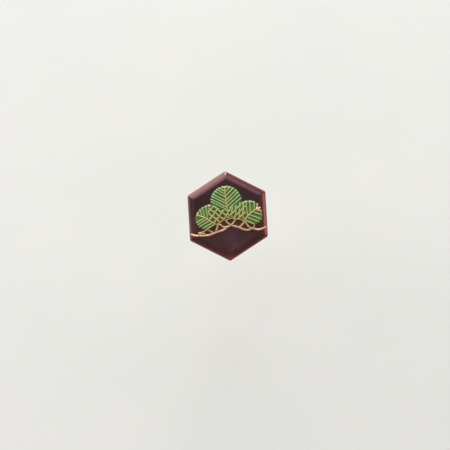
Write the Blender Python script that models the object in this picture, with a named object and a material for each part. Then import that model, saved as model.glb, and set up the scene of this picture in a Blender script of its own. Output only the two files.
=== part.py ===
"""Tie tack: a hexagonal lacquer tile with a pine-bough motif, on a pointed post with a locking ball clutch,
a safety chain and a T-bar.

The origin is on the post's axis, on the rear face of the back plate, where the tie's cloth lies. +Z points out
of the face, +Y is the top of the motif, and the clutch, chain and T-bar hang down -Z.
"""

import math

import bmesh
import bpy
from mathutils import Matrix, Vector

MM = 0.001
GAP = 0.02 * MM  # clearance between pieces that touch

# Tile
ACROSS_FLATS = 15.0 * MM
TILE_THICKNESS = 3.2 * MM
CORNER_RADIUS = 0.5 * MM
BEVEL_WIDTH = 1.5 * MM
BEVEL_HEIGHT = 1.1 * MM
BACK_EDGE_ROUND = 0.25 * MM

# Motif, laid out on a grid whose unit is a sixteenth of the tile's width
UNIT = ACROSS_FLATS / 16
PAD_HEIGHT = 0.3 * MM
NEEDLE_HEIGHT = 0.12 * MM
NEEDLE_WIDTH = 0.2
SPINE_WIDTH = 0.26
BRANCH_WIDTH = 0.28
BRANCH_HEIGHT = 0.24 * MM
STRIP_STEP = 0.005 * MM  # crossing strips differ in height by this, so that they share no faces
PADS = {
    "centre": {"at": (-0.15, 3.0), "radius": 3.15},
    "left": {"at": (-4.1, 0.05), "radius": 2.55},
    "right": {"at": (4.6, 0.45), "radius": 2.45},
}
BASE_PAD = [(-2.6, 0.8), (-2.0, -1.3), (-1.5, -1.15), (-0.7, -0.8), (0.5, -0.95), (1.5, -0.75), (2.3, -0.8),
            (2.7, -1.0), (3.0, 1.0), (0, 1.5)]
# Each clump has a straight spine and two rows of needles, as (angle in degrees, count, first place along
# the spine, last place).
COMBS = {
    "centre": {"spine": ((-0.02, 1.75), (-0.3, 5.95)), "left": (150, 8, 0.07, 0.88),
               "right": (42, 8, 0.05, 0.86)},
    "left": {"spine": ((-3.75, -0.5), (-6.3, 0.45)), "left": (212, 4, 0.12, 0.7),
             "right": (100, 4, 0.1, 0.8)},
    "right": {"spine": ((3.95, -0.55), (6.35, 1.5)), "left": (92, 4, 0.12, 0.8),
              "right": (-20, 4, 0.08, 0.75)},
}
NET_RAIL = [(-2.9, 0.35), (3.15, 0.45)]
NET_BARS = 6  # in each of its two slanted rows
NET_FIRST_X = -2.3
NET_PITCH = 0.9
NET_LEAN = 0.55
NET_FOOT_Y = -0.7
NET_HEAD_Y = 1.35
BRANCH = [(-6.3, -3.7), (-4.6, -3.75), (-3.0, -3.4), (-1.3, -2.9), (0.4, -2.0), (2.2, -2.5), (3.6, -3.05),
          (4.7, -2.8), (6.1, -3.15)]
ARCHES = [
    [(-6.0, -3.5), (-4.5, -2.85), (-3.3, -3.4)],
    [(-2.9, -3.3), (-2.45, -2.5), (-2.1, -1.8)],
    [(-1.75, -1.7), (-1.2, -2.15), (-0.2, -2.2), (0.3, -2.0)],
    [(2.3, -2.5), (2.95, -2.0), (3.3, -1.5)],
]

# Back plate and post
BACK_PLATE_ACROSS = 12.6 * MM
BACK_PLATE_THICKNESS = 0.8 * MM
ADHESIVE_THICKNESS = 0.14 * MM
POST_RADIUS = 0.525 * MM
POST_HEAD_RADIUS = 1.2 * MM
POST_HEAD_HEIGHT = 0.35 * MM
POST_TIP_Z = -8.3 * MM
POST_POINT_LENGTH = 1.2 * MM
POST_NOSE_LENGTH = 0.45 * MM  # the blunter last part of its point
POST_GROOVES = 3
POST_GROOVE_PITCH = 0.9 * MM
POST_GROOVE_DEPTH = 0.07 * MM
POST_GROOVE_WIDTH = 0.4 * MM
FILLET_RADIUS = 0.95 * MM
FILLET_HEIGHT = 0.35 * MM
SOLDER_RECESS = 0.2 * MM  # depth of the countersink in the plate's rear face

# Clutch
CLOTH_GAP = 3.0 * MM  # thickness of tie and shirt between the back plate and the clutch
FLANGE_RADIUS = 5.0 * MM
FLANGE_THICKNESS = 0.5 * MM
FLANGE_SKIRT = 1.2 * MM
FLANGE_CHAMFER = 0.15 * MM
COVER_RADIUS = 4.2 * MM
COVER_RIM_RADIUS = 4.7 * MM
COVER_WALL = 0.4 * MM
COVER_BACK_Z = -8.45 * MM
COVER_RIM_THICKNESS = 0.5 * MM
COVER_SHOULDER = 0.2 * MM  # between the rim and the straight wall
# (inward, up) from the corner of its wall and its bottom
COVER_BOTTOM_CURVE = [(0.0, 1.0 * MM), (0.15 * MM, 0.5 * MM), (0.5 * MM, 0.15 * MM), (1.0 * MM, 0.0)]
COVER_HOLE_CLEARANCE = 0.15 * MM
EYELET_BORE = 0.62 * MM
EYELET_NECK = 1.15 * MM
EYELET_LIP_RADIUS = 1.8 * MM
EYELET_RIM = 0.2 * MM  # thickness of its lip and of its rear flare
EYELET_FLARE_RADIUS = 1.6 * MM
EYELET_FLARE_REAR_RADIUS = 1.45 * MM
BALL_RADIUS = 0.5 * MM
BALL_PLANE_Z = -4.9 * MM
BALL_COUNT = 3
BALL_HOLE_LENGTH = 2.0 * MM
BALL_HOLE_X = 1.1 * MM  # distance of the hole's middle from the axis
RACE_SLOPE = 0.35  # a ball moves out this much for each unit that the cage is pulled back
RACE_FRONT_Z = -3.85 * MM
RACE_REAR_Z = -5.75 * MM
CAGE_BORE = 0.66 * MM
CAGE_RADIUS = 1.05 * MM
CAGE_FRONT_Z = -4.0 * MM
CAGE_REAR_Z = -9.4 * MM
COLLAR_FRONT_Z = -5.9 * MM
COLLAR_THICKNESS = 0.3 * MM
COLLAR_RADIUS = 2.6 * MM
SPRING_RADIUS = 2.35 * MM
SPRING_WIRE = 0.125 * MM
SPRING_TURNS = 3
KNOB_RADIUS = 3.8 * MM
KNOB_STEM_RADIUS = 1.8 * MM
KNOB_STEM_FRONT_Z = -6.9 * MM
KNOB_FRONT_Z = -8.75 * MM
KNOB_REAR_Z = -11.3 * MM
KNOB_BORE_Z = -10.8 * MM
KNOB_CHAMFER = (0.4 * MM, 0.3 * MM)  # (inward, along the axis)
# (depth, distance from the front)
KNOB_GROOVE = [(0.0, 0.8 * MM), (0.5 * MM, 1.1 * MM), (0.5 * MM, 1.4 * MM), (0.0, 1.7 * MM)]

# Chain and T-bar
RING_WIRE = 0.25 * MM
LINK_WIRE = 0.22 * MM
LOOP_RADIUS = 0.75 * MM
LOOP_Y = -5.2 * MM
LOOP_Z = -6.0 * MM
LOOP_FOOT = (0.8 * MM, 0.7 * MM, 1.0 * MM)
LOOP_FOOT_OFFSET = 0.25 * MM  # from the loop's inmost point to the middle of its foot
RING_RADIUS = 1.0 * MM
LINK_RADIUS = 0.6 * MM
LINK_STRAIGHT = 1.5 * MM
LINK_COUNT = 8
SLACK = 0.03 * MM  # between the wires of two links
BAR_RADIUS = 0.65 * MM
BAR_LENGTH = 11.0 * MM
BAR_LOOP_STRAIGHT = 0.9 * MM
BAR_LOOP_SINK = 0.4 * MM  # from the loop's lowest point to the bar's axis

# Heights that follow from the above
ADHESIVE_Z = BACK_PLATE_THICKNESS + GAP
TILE_BACK_Z = ADHESIVE_Z + ADHESIVE_THICKNESS + GAP
TILE_FACE_Z = TILE_BACK_Z + TILE_THICKNESS
PAD_Z = TILE_FACE_Z + GAP
NEEDLE_Z = PAD_Z + PAD_HEIGHT + GAP
FLANGE_Z = -CLOTH_GAP
COVER_FRONT_Z = FLANGE_Z - FLANGE_THICKNESS - GAP
COLLAR_REAR_Z = COLLAR_FRONT_Z - COLLAR_THICKNESS

COLOURS = {
    "lacquer": ((0.07, 0.028, 0.03), 0.18, 0.0),
    "green_lacquer": ((0.09, 0.16, 0.05), 0.35, 0.0),
    "gold_line": ((0.62, 0.46, 0.27), 0.35, 1.0),
    "glue": ((0.75, 0.72, 0.6), 0.6, 0.0),
    "brass": ((0.72, 0.53, 0.24), 0.3, 1.0),
    "steel": ((0.62, 0.62, 0.63), 0.22, 1.0),
    "solder": ((0.6, 0.6, 0.58), 0.4, 1.0),
}


def clear_scene():
    for ob in list(bpy.data.objects):
        bpy.data.objects.remove(ob, do_unlink=True)


def give_material(ob, finish):
    """Each piece has a Principled material of its own, with the colour of its finish."""
    colour, roughness, metallic = COLOURS[finish]
    material = bpy.data.materials.new(ob.name)
    material.use_nodes = True
    shader = material.node_tree.nodes["Principled BSDF"]
    shader.inputs["Base Color"].default_value = (*colour, 1.0)
    shader.inputs["Roughness"].default_value = roughness
    shader.inputs["Metallic"].default_value = metallic
    ob.data.materials.append(material)


def new_object(name, bm, finish=None, smooth_angle=None):
    """An object from a bmesh, with its faces pointing out."""
    bmesh.ops.recalc_face_normals(bm, faces=bm.faces[:])
    mesh = bpy.data.meshes.new(name)
    bm.to_mesh(mesh)
    bm.free()
    if smooth_angle is not None:
        mesh.shade_smooth()
        mesh.set_sharp_from_angle(angle=math.radians(smooth_angle))
    ob = bpy.data.objects.new(name, mesh)
    bpy.context.scene.collection.objects.link(ob)
    if finish:
        give_material(ob, finish)
    return ob


def make_helper(ob):
    """A cutter or operand: it shapes other pieces and isn't one itself."""
    ob.hide_render = True
    ob.display_type = "WIRE"
    return ob


def add_boolean(ob, operation, helper):
    modifier = ob.modifiers.new(operation.lower(), "BOOLEAN")
    modifier.operation = operation
    modifier.solver = "EXACT"
    modifier.object = make_helper(helper)


def loft(name, sections, finish=None, smooth_angle=None):
    """A closed solid through rings of points that all have the same count."""
    bm = bmesh.new()
    rings = [[bm.verts.new(p) for p in section] for section in sections]
    count = len(rings[0])
    for lower, upper in zip(rings, rings[1:]):
        for i in range(count):
            j = (i + 1) % count
            bm.faces.new((lower[i], lower[j], upper[j], upper[i]))
    bm.faces.new(reversed(rings[0]))
    bm.faces.new(rings[-1])
    return new_object(name, bm, finish, smooth_angle)


def prism(name, outline, z_low, z_high, finish=None):
    """A flat outline, in metres, extruded along Z."""
    return loft(name, [[(x, y, z) for x, y in outline] for z in (z_low, z_high)], finish)


def turned(name, profile, finish=None, segments=32, smooth_angle=35):
    """A closed (radius, z) profile spun round the Z axis."""
    bm = bmesh.new()
    verts = [bm.verts.new((r, 0, z)) for r, z in profile]
    edges = [bm.edges.new(pair) for pair in zip(verts, verts[1:])]
    if min(r for r, _ in profile) > 0:
        edges.append(bm.edges.new((verts[-1], verts[0])))
    bmesh.ops.spin(bm, geom=verts + edges, cent=(0, 0, 0), axis=(0, 0, 1), angle=math.tau,
                   steps=segments, use_merge=True)
    bmesh.ops.remove_doubles(bm, verts=bm.verts[:], dist=1e-7)
    return new_object(name, bm, finish, smooth_angle)


def wire_loop(name, path, radius, finish=None, sides=6):
    """A closed ring of round wire along a flat path of points."""
    bm = bmesh.new()
    normal = (Vector(path[1]) - Vector(path[0])).cross(Vector(path[2]) - Vector(path[1])).normalized()
    rings = []
    for i, point in enumerate(path):
        along = (Vector(path[(i + 1) % len(path)]) - Vector(path[i - 1])).normalized()
        outward = along.cross(normal)
        turn = [math.tau * k / sides for k in range(sides)]
        rings.append([bm.verts.new(Vector(point) + radius * (math.cos(a) * outward + math.sin(a) * normal))
                      for a in turn])
    for ring, following in zip(rings, rings[1:] + rings[:1]):
        for k in range(sides):
            m = (k + 1) % sides
            bm.faces.new((ring[k], ring[m], following[m], following[k]))
    return new_object(name, bm, finish, smooth_angle=60)


def rounded_hexagon(across, corner, z, steps=4):
    """A hexagon with corners at +Y and -Y, each rounded by an arc."""
    points = []
    reach = (across / 2 - corner) / math.cos(math.pi / 6)
    for k in range(6):
        middle = math.pi / 2 + k * math.pi / 3
        for s in range(steps + 1):
            angle = middle + (s / steps - 0.5) * math.pi / 3
            points.append((reach * math.cos(middle) + corner * math.cos(angle),
                           reach * math.sin(middle) + corner * math.sin(angle), z))
    return points


def make_tile():
    """The bevel bulges a little, and its inner edge is rounded off into the face."""
    edge_z = TILE_FACE_Z - BEVEL_HEIGHT
    sections = [
        (ACROSS_FLATS - 2 * BACK_EDGE_ROUND, TILE_BACK_Z),
        (ACROSS_FLATS, TILE_BACK_Z + BACK_EDGE_ROUND),
        (ACROSS_FLATS, edge_z),
        (ACROSS_FLATS - 0.5 * BEVEL_WIDTH, edge_z + 0.45 * BEVEL_HEIGHT),
        (ACROSS_FLATS - 1.25 * BEVEL_WIDTH, edge_z + 0.82 * BEVEL_HEIGHT),
        (ACROSS_FLATS - 1.75 * BEVEL_WIDTH, edge_z + 0.97 * BEVEL_HEIGHT),
        (ACROSS_FLATS - 2 * BEVEL_WIDTH, TILE_FACE_Z),
    ]
    rings = [rounded_hexagon(across, CORNER_RADIUS, z) for across, z in sections]
    loft("hex_tile", rings, "lacquer", smooth_angle=35)


def circle_outline(centre, radius, count=40):
    """A circle given on the motif's grid, in metres."""
    turn = [math.tau * k / count for k in range(count)]
    return [((centre[0] + radius * math.cos(a)) * UNIT, (centre[1] + radius * math.sin(a)) * UNIT)
            for a in turn]


def pad_cutter(side, extra):
    pad = PADS[side]
    outline = circle_outline(pad["at"], pad["radius"] + extra)
    return prism(f"cut_{side}_{extra:g}", outline, PAD_Z - MM, PAD_Z + MM)


def make_pads():
    """The centre pad is whole. The side pads are cut back round it, and the base pad fills in between."""
    clearance = GAP / UNIT
    top = PAD_Z + PAD_HEIGHT
    for side, pad in PADS.items():
        ob = prism(f"pine_pad_{side}", circle_outline(pad["at"], pad["radius"]), PAD_Z, top, "green_lacquer")
        if side != "centre":
            add_boolean(ob, "DIFFERENCE", pad_cutter("centre", clearance * (2 if side == "left" else 3)))
    base = prism("pine_pad_base", [(x * UNIT, y * UNIT) for x, y in BASE_PAD], PAD_Z, top, "green_lacquer")
    for side in PADS:
        add_boolean(base, "DIFFERENCE", pad_cutter(side, clearance * 4))


def reach_to_rim(start, direction, pad, margin=0.12):
    """How far a needle runs from its start to just inside the pad's rim."""
    offset = Vector(start) - Vector(pad["at"])
    along = offset.dot(direction)
    radius = pad["radius"] - margin
    return -along + math.sqrt(max(along * along - offset.length_squared + radius * radius, 0.01))


def make_comb(side, comb):
    """One clump's needles: a straight spine with a row of bars down each side, as one outline."""
    pad = PADS[side]
    start, end = [Vector(point) for point in comb["spine"]]
    along = (end - start).normalized()
    outline = []
    for row, sign in ((comb["right"], 1), (comb["left"], -1)):
        angle, count, first, last = row
        direction = Vector((math.cos(math.radians(angle)), math.sin(math.radians(angle))))
        across = Vector((-direction.y, direction.x)) * sign * NEEDLE_WIDTH / 2
        flank = Vector((along.y, -along.x)) * sign * SPINE_WIDTH / 2
        slant = NEEDLE_WIDTH / 2 / abs(direction.x * along.y - direction.y * along.x)
        needles = []
        for k in range(count):
            root = start + (end - start) * (first + (last - first) * k / (count - 1)) + flank
            tip = root + direction * reach_to_rim(root, direction, pad)
            needles.append([root - along * slant, tip - across, tip + across, root + along * slant])
        side_points = [start + flank] + [p for needle in needles for p in needle] + [end + flank]
        outline += side_points if sign > 0 else side_points[::-1]
    prism(f"needles_{side}", [(p.x * UNIT, p.y * UNIT) for p in outline], NEEDLE_Z,
          NEEDLE_Z + NEEDLE_HEIGHT, "gold_line")


def make_needles():
    for side, comb in COMBS.items():
        make_comb(side, comb)


def union_of(name, pieces, finish):
    """The first piece, with the rest joined to it as one body."""
    first, rest = pieces[0], pieces[1:]
    first.name = name
    first.data.name = name
    give_material(first, finish)
    for piece in rest:
        add_boolean(first, "UNION", piece)


def strip(name, points, width, z_low, z_high, steps_thinner=0):
    """A flat strip of even width along a line of grid points, some steps thinner at its top and bottom."""
    line = [Vector(p) for p in points]
    left, right = [], []
    for i, p in enumerate(line):
        along = (line[min(i + 1, len(line) - 1)] - line[max(i - 1, 0)]).normalized()
        flank = Vector((-along.y, along.x)) * width / 2
        left.append(p + flank)
        right.append(p - flank)
    outline = [(p.x * UNIT, p.y * UNIT) for p in left + right[::-1]]
    thinner = STRIP_STEP * steps_thinner
    return prism(name, outline, z_low + thinner, z_high - thinner)


def make_net():
    """Crossing needles where the three clumps meet, over the base pad: one rail with two slanted rows."""
    top = NEEDLE_Z + NEEDLE_HEIGHT
    bars = [strip("net_rail", NET_RAIL, NEEDLE_WIDTH, NEEDLE_Z, top)]
    for side in (-1, 1):
        for k in range(NET_BARS):
            x = NET_FIRST_X + NET_PITCH * k
            foot = (x - NET_LEAN * side, NET_FOOT_Y)
            head = (x + NET_LEAN * side, NET_HEAD_Y)
            bars.append(strip(f"net_{side}_{k}", [foot, head], NEEDLE_WIDTH, NEEDLE_Z, top,
                              steps_thinner=k % 2 + side + 2))
    union_of("needle_net", bars, "gold_line")


def smooth_line(points, steps=4):
    """A Catmull-Rom curve through the points."""
    line = [Vector(p) for p in points]
    line = [2 * line[0] - line[1]] + line + [2 * line[-1] - line[-2]]
    curve = []
    for a, b, c, d in zip(line, line[1:], line[2:], line[3:]):
        for s in range(steps):
            t = s / steps
            curve.append(0.5 * (2 * b + (c - a) * t + (2 * a - 5 * b + 4 * c - d) * t ** 2
                                + (3 * b - a - 3 * c + d) * t ** 3))
    return curve + [line[-2]]


def make_branch():
    """The gnarled branch under the clumps: a long wavy line with arches over it."""
    top = PAD_Z + BRANCH_HEIGHT
    pieces = [strip("branch_main", smooth_line(BRANCH), BRANCH_WIDTH, PAD_Z, top)]
    for k, arch in enumerate(ARCHES):
        pieces.append(strip(f"arch_{k}", smooth_line(arch), BRANCH_WIDTH, PAD_Z, top, steps_thinner=k + 1))
    union_of("branch_line", pieces, "gold_line")


def make_back():
    """The plate has a hole for the post, wider at the front for its head and at the rear for the solder."""
    plate = loft("back_plate", [rounded_hexagon(BACK_PLATE_ACROSS, CORNER_RADIUS, z)
                                for z in (0.0, BACK_PLATE_THICKNESS)], "brass")
    hole_radius = POST_RADIUS + GAP
    head_seat = BACK_PLATE_THICKNESS - POST_HEAD_HEIGHT - 2 * GAP
    recess_radius = FILLET_RADIUS + 2 * GAP
    head_hole_radius = POST_HEAD_RADIUS + GAP
    hole = turned("cut_post_hole", [
        (0, -MM), (recess_radius, -MM), (recess_radius, SOLDER_RECESS), (hole_radius, SOLDER_RECESS),
        (hole_radius, head_seat), (head_hole_radius, head_seat), (head_hole_radius, 2 * MM), (0, 2 * MM)])
    add_boolean(plate, "DIFFERENCE", hole)
    loft("adhesive_layer", [rounded_hexagon(BACK_PLATE_ACROSS, CORNER_RADIUS, z)
                            for z in (ADHESIVE_Z, ADHESIVE_Z + ADHESIVE_THICKNESS)], "glue")
    top = SOLDER_RECESS - GAP
    turned("solder_fillet", [
        (hole_radius, top), (hole_radius, top - FILLET_HEIGHT),
        (hole_radius + 0.25 * (FILLET_RADIUS - hole_radius), top - 0.6 * FILLET_HEIGHT),
        (FILLET_RADIUS, top - 0.25 * FILLET_HEIGHT), (FILLET_RADIUS, top)], "solder")


def make_post():
    """A nail with a flat head in the plate, three shallow grooves and a point."""
    profile = [(0, BACK_PLATE_THICKNESS - GAP), (POST_HEAD_RADIUS, BACK_PLATE_THICKNESS - GAP),
               (POST_HEAD_RADIUS, BACK_PLATE_THICKNESS - POST_HEAD_HEIGHT - GAP),
               (POST_RADIUS, BACK_PLATE_THICKNESS - POST_HEAD_HEIGHT - GAP)]
    for k in range(POST_GROOVES):
        middle = BALL_PLANE_Z + (1 - k) * POST_GROOVE_PITCH
        profile += [(POST_RADIUS, middle + POST_GROOVE_WIDTH / 2), (POST_RADIUS - POST_GROOVE_DEPTH, middle),
                    (POST_RADIUS, middle - POST_GROOVE_WIDTH / 2)]
    profile += [(POST_RADIUS, POST_TIP_Z + POST_POINT_LENGTH),
                (0.6 * POST_RADIUS, POST_TIP_Z + POST_NOSE_LENGTH), (0, POST_TIP_Z)]
    turned("post", profile, "steel", segments=24)


def make_clutch_shell():
    """The eyelet's lip lies in a recess in the flange, flush with its face. Its rear flare holds it there."""
    lip_back = FLANGE_Z - GAP - EYELET_RIM
    recess = lip_back - GAP
    turned("needle_eyelet", [
        (EYELET_BORE, FLANGE_Z - GAP), (EYELET_LIP_RADIUS, FLANGE_Z - GAP), (EYELET_LIP_RADIUS, lip_back),
        (EYELET_NECK, lip_back), (EYELET_NECK, COVER_FRONT_Z), (EYELET_FLARE_RADIUS, COVER_FRONT_Z),
        (EYELET_FLARE_REAR_RADIUS, COVER_FRONT_Z - EYELET_RIM),
        (EYELET_BORE, COVER_FRONT_Z - EYELET_RIM)], "brass")
    turned("clutch_flange", [
        (EYELET_NECK + GAP, recess), (EYELET_LIP_RADIUS + 2 * GAP, recess),
        (EYELET_LIP_RADIUS + 2 * GAP, FLANGE_Z), (FLANGE_RADIUS - FLANGE_CHAMFER, FLANGE_Z),
        (FLANGE_RADIUS, FLANGE_Z - FLANGE_CHAMFER),
        (FLANGE_RADIUS, FLANGE_Z - FLANGE_SKIRT), (COVER_RIM_RADIUS + GAP, FLANGE_Z - FLANGE_SKIRT),
        (COVER_RIM_RADIUS + GAP, FLANGE_Z - FLANGE_THICKNESS),
        (EYELET_NECK + GAP, FLANGE_Z - FLANGE_THICKNESS)],
        "brass", segments=36)
    inner = COVER_RADIUS - COVER_WALL
    hole = KNOB_STEM_RADIUS + COVER_HOLE_CLEARANCE
    rim_back = COVER_FRONT_Z - COVER_RIM_THICKNESS
    bottom = [(COVER_RADIUS - inward, COVER_BACK_Z + up) for inward, up in COVER_BOTTOM_CURVE]
    turned("clutch_cover", [
        (inner, COVER_FRONT_Z), (COVER_RIM_RADIUS, COVER_FRONT_Z), (COVER_RIM_RADIUS, rim_back),
        (COVER_RADIUS, rim_back - COVER_SHOULDER), *bottom, (hole, COVER_BACK_Z),
        (hole, COVER_BACK_Z + COVER_WALL), (inner - 0.5 * MM, COVER_BACK_Z + COVER_WALL),
        (inner, COVER_BACK_Z + 0.9 * MM)], "brass", segments=36)
    make_race(inner)
    make_spring()


def make_race(cover_inner):
    """The tapered ring that wedges the balls onto the post. It widens away from the tile."""
    slope_cos = math.cos(math.atan(RACE_SLOPE))
    touch = POST_RADIUS + BALL_RADIUS + GAP + (BALL_RADIUS + GAP) / slope_cos
    outer = cover_inner - 3 * GAP
    turned("cone_race", [
        (touch + (BALL_PLANE_Z - RACE_FRONT_Z) * RACE_SLOPE, RACE_FRONT_Z), (outer, RACE_FRONT_Z),
        (outer, RACE_REAR_Z), (touch + (BALL_PLANE_Z - RACE_REAR_Z) * RACE_SLOPE, RACE_REAR_Z)], "steel")


def make_spring():
    """A compression spring between the cage's collar and the back of the cover."""
    front = COLLAR_REAR_Z - GAP - SPRING_WIRE
    rear = COVER_BACK_Z + COVER_WALL + GAP + SPRING_WIRE
    per_turn, sides = 18, 5
    count = per_turn * SPRING_TURNS
    sections = []
    for k in range(count + 1):
        angle = math.tau * k / per_turn
        centre = Vector((SPRING_RADIUS * math.cos(angle), SPRING_RADIUS * math.sin(angle),
                         front + (rear - front) * k / count))
        outward = Vector((math.cos(angle), math.sin(angle), 0))
        sections.append([centre + SPRING_WIRE * (math.cos(a) * outward + Vector((0, 0, math.sin(a))))
                         for a in (math.tau * s / sides for s in range(sides))])
    loft("clutch_spring", sections, "steel", smooth_angle=70)


def make_plunger():
    """The cage is a tube with a collar for the spring and a hole for each ball. The knob is on its end."""
    cage = turned("ball_cage", [
        (CAGE_BORE, CAGE_FRONT_Z), (CAGE_RADIUS, CAGE_FRONT_Z), (CAGE_RADIUS, COLLAR_FRONT_Z),
        (COLLAR_RADIUS, COLLAR_FRONT_Z), (COLLAR_RADIUS, COLLAR_REAR_Z), (CAGE_RADIUS, COLLAR_REAR_Z),
        (CAGE_RADIUS, CAGE_REAR_Z), (CAGE_BORE, CAGE_REAR_Z)], "steel", segments=30)
    for k in range(BALL_COUNT):
        angle = ball_angle(k)
        bm = bmesh.new()
        bmesh.ops.create_cone(bm, cap_ends=True, segments=20, radius1=BALL_RADIUS + 2 * GAP,
                              radius2=BALL_RADIUS + 2 * GAP, depth=BALL_HOLE_LENGTH)
        turn = Matrix.Rotation(angle, 4, "Z") @ Matrix.Translation((BALL_HOLE_X, 0, BALL_PLANE_Z))
        bmesh.ops.transform(bm, matrix=turn @ Matrix.Rotation(math.pi / 2, 4, "Y"), verts=bm.verts[:])
        add_boolean(cage, "DIFFERENCE", new_object(f"cut_ball_hole_{k + 1}", bm))
    make_knob()


def make_knob():
    """A stem through the cover's hole, and a grooved grip. The cage's end is seated in the stem."""
    seat = CAGE_REAR_Z - GAP
    inward, along = KNOB_CHAMFER
    groove = [(KNOB_RADIUS - depth, KNOB_FRONT_Z - back) for depth, back in KNOB_GROOVE]
    turned("pull_knob", [
        (0, KNOB_BORE_Z), (CAGE_BORE, KNOB_BORE_Z), (CAGE_BORE, seat), (CAGE_RADIUS + GAP, seat),
        (CAGE_RADIUS + GAP, KNOB_STEM_FRONT_Z), (KNOB_STEM_RADIUS, KNOB_STEM_FRONT_Z),
        (KNOB_STEM_RADIUS, KNOB_FRONT_Z), (KNOB_RADIUS - inward, KNOB_FRONT_Z),
        (KNOB_RADIUS, KNOB_FRONT_Z - along), *groove, (KNOB_RADIUS, KNOB_REAR_Z + along),
        (KNOB_RADIUS - inward, KNOB_REAR_Z), (0, KNOB_REAR_Z)], "brass", segments=36)


def ball_angle(k):
    return math.pi / 2 + math.tau * k / BALL_COUNT


def make_balls():
    reach = POST_RADIUS + BALL_RADIUS + GAP
    for k in range(BALL_COUNT):
        bm = bmesh.new()
        bmesh.ops.create_uvsphere(bm, u_segments=12, v_segments=8, radius=BALL_RADIUS)
        ball = new_object(f"ball_{k + 1}", bm, "steel", smooth_angle=60)
        ball.location = (reach * math.cos(ball_angle(k)), reach * math.sin(ball_angle(k)), BALL_PLANE_Z)


def oval_path(radius, straight, steps=7):
    """A link's centre line in the XZ plane, hanging from its top at z = 0."""
    points = []
    for start, middle in ((0, -radius), (math.pi, -radius - straight)):
        for s in range(steps + 1 if straight else steps):
            angle = start + math.pi * s / steps
            points.append((radius * math.cos(angle), 0, middle + radius * math.sin(angle)))
    return points


def in_plane(points, plane):
    """Points of the XZ plane, turned into the YZ plane when that is asked for."""
    return [(0, x, z) if plane == "YZ" else (x, 0, z) for x, _, z in points]


def make_chain_loop():
    """The staple on the side of the cover, with a foot shaped to the cover's wall."""
    ring = wire_loop("chain_loop", in_plane(oval_path(LOOP_RADIUS, 0), "YZ"), RING_WIRE, "brass")
    top = LOOP_Z + LOOP_RADIUS
    ring.location = (0, LOOP_Y, top)
    bm = bmesh.new()
    bmesh.ops.create_cube(bm, size=1.0)
    bmesh.ops.scale(bm, vec=LOOP_FOOT, verts=bm.verts[:])
    foot = new_object("loop_foot", bm)
    foot.location = (0, LOOP_Y + LOOP_RADIUS + LOOP_FOOT_OFFSET, LOOP_Z)
    add_boolean(ring, "UNION", foot)
    wall = COVER_RADIUS + GAP
    add_boolean(ring, "DIFFERENCE", turned("cut_wall", [(0, LOOP_Z - 2 * MM), (wall, LOOP_Z - 2 * MM),
                                                        (wall, LOOP_Z + 2 * MM), (0, LOOP_Z + 2 * MM)],
                                           segments=36))


def hang(name, radius, straight, wire, plane, top_z):
    """A link or ring that hangs with its top wire's centre at top_z. Its origin is on its hinge axis."""
    ob = wire_loop(name, in_plane(oval_path(radius, straight), plane), wire, "brass")
    ob.location = (0, LOOP_Y, top_z)
    return top_z - 2 * radius - straight


def make_chain():
    """Rings and links hang in turn in the XZ and the YZ plane, each through the one above."""
    below = LOOP_Z - LOOP_RADIUS
    bottom = hang("jump_ring_upper", RING_RADIUS, 0, RING_WIRE, "XZ", below + 2 * RING_WIRE + SLACK)
    above_wire = RING_WIRE
    for k in range(LINK_COUNT):
        plane = "YZ" if k % 2 == 0 else "XZ"
        bottom = hang(f"chain_link_{k + 1}", LINK_RADIUS, LINK_STRAIGHT, LINK_WIRE, plane,
                      bottom + above_wire + LINK_WIRE + SLACK)
        above_wire = LINK_WIRE
    bottom = hang("jump_ring_lower", RING_RADIUS, 0, RING_WIRE, "YZ", bottom + LINK_WIRE + RING_WIRE + SLACK)
    make_bar(bottom + RING_WIRE + LINK_WIRE + SLACK)


def make_bar(loop_top):
    """A round bar with ball ends, and the loop it hangs by in one piece with it."""
    profile = [(0, -BAR_LENGTH / 2)]
    for s in range(1, 5):
        angle = math.pi / 2 * s / 4
        profile.append((BAR_RADIUS * math.sin(angle), -BAR_LENGTH / 2 + BAR_RADIUS * (1 - math.cos(angle))))
    profile += [(0.75 * BAR_RADIUS, -BAR_LENGTH / 2 + 1.5 * BAR_RADIUS)]
    profile += [(r, -z) for r, z in profile[::-1]]
    bar = turned("t_bar", profile, "brass", segments=16)
    bar.rotation_euler = (0, math.pi / 2, 0)
    loop_bottom = loop_top - 2 * LINK_RADIUS - BAR_LOOP_STRAIGHT
    bar.location = (0, LOOP_Y, loop_bottom - BAR_LOOP_SINK)
    loop = wire_loop("bar_loop", in_plane(oval_path(LINK_RADIUS, BAR_LOOP_STRAIGHT), "XZ"), LINK_WIRE)
    loop.location = (0, LOOP_Y, loop_top)
    add_boolean(bar, "UNION", loop)


clear_scene()
make_tile()
make_pads()
make_needles()
make_net()
make_branch()
make_back()
make_post()
make_clutch_shell()
make_plunger()
make_balls()
make_chain_loop()
make_chain()
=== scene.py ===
"""Looks of a hexagonal lacquer tie tack with a pine bough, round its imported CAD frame.

The tile, the raised bough and the metal parts behind are finer meshes that stand for the CAD nodes.
Positions and sizes come from the CAD nodes' boxes. The bough is drawn on a grid of sixteenths of the
tile's width. Angles in the tables are in degrees.
"""

import math

import bmesh
import bpy
from mathutils import Matrix, Vector, noise


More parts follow.
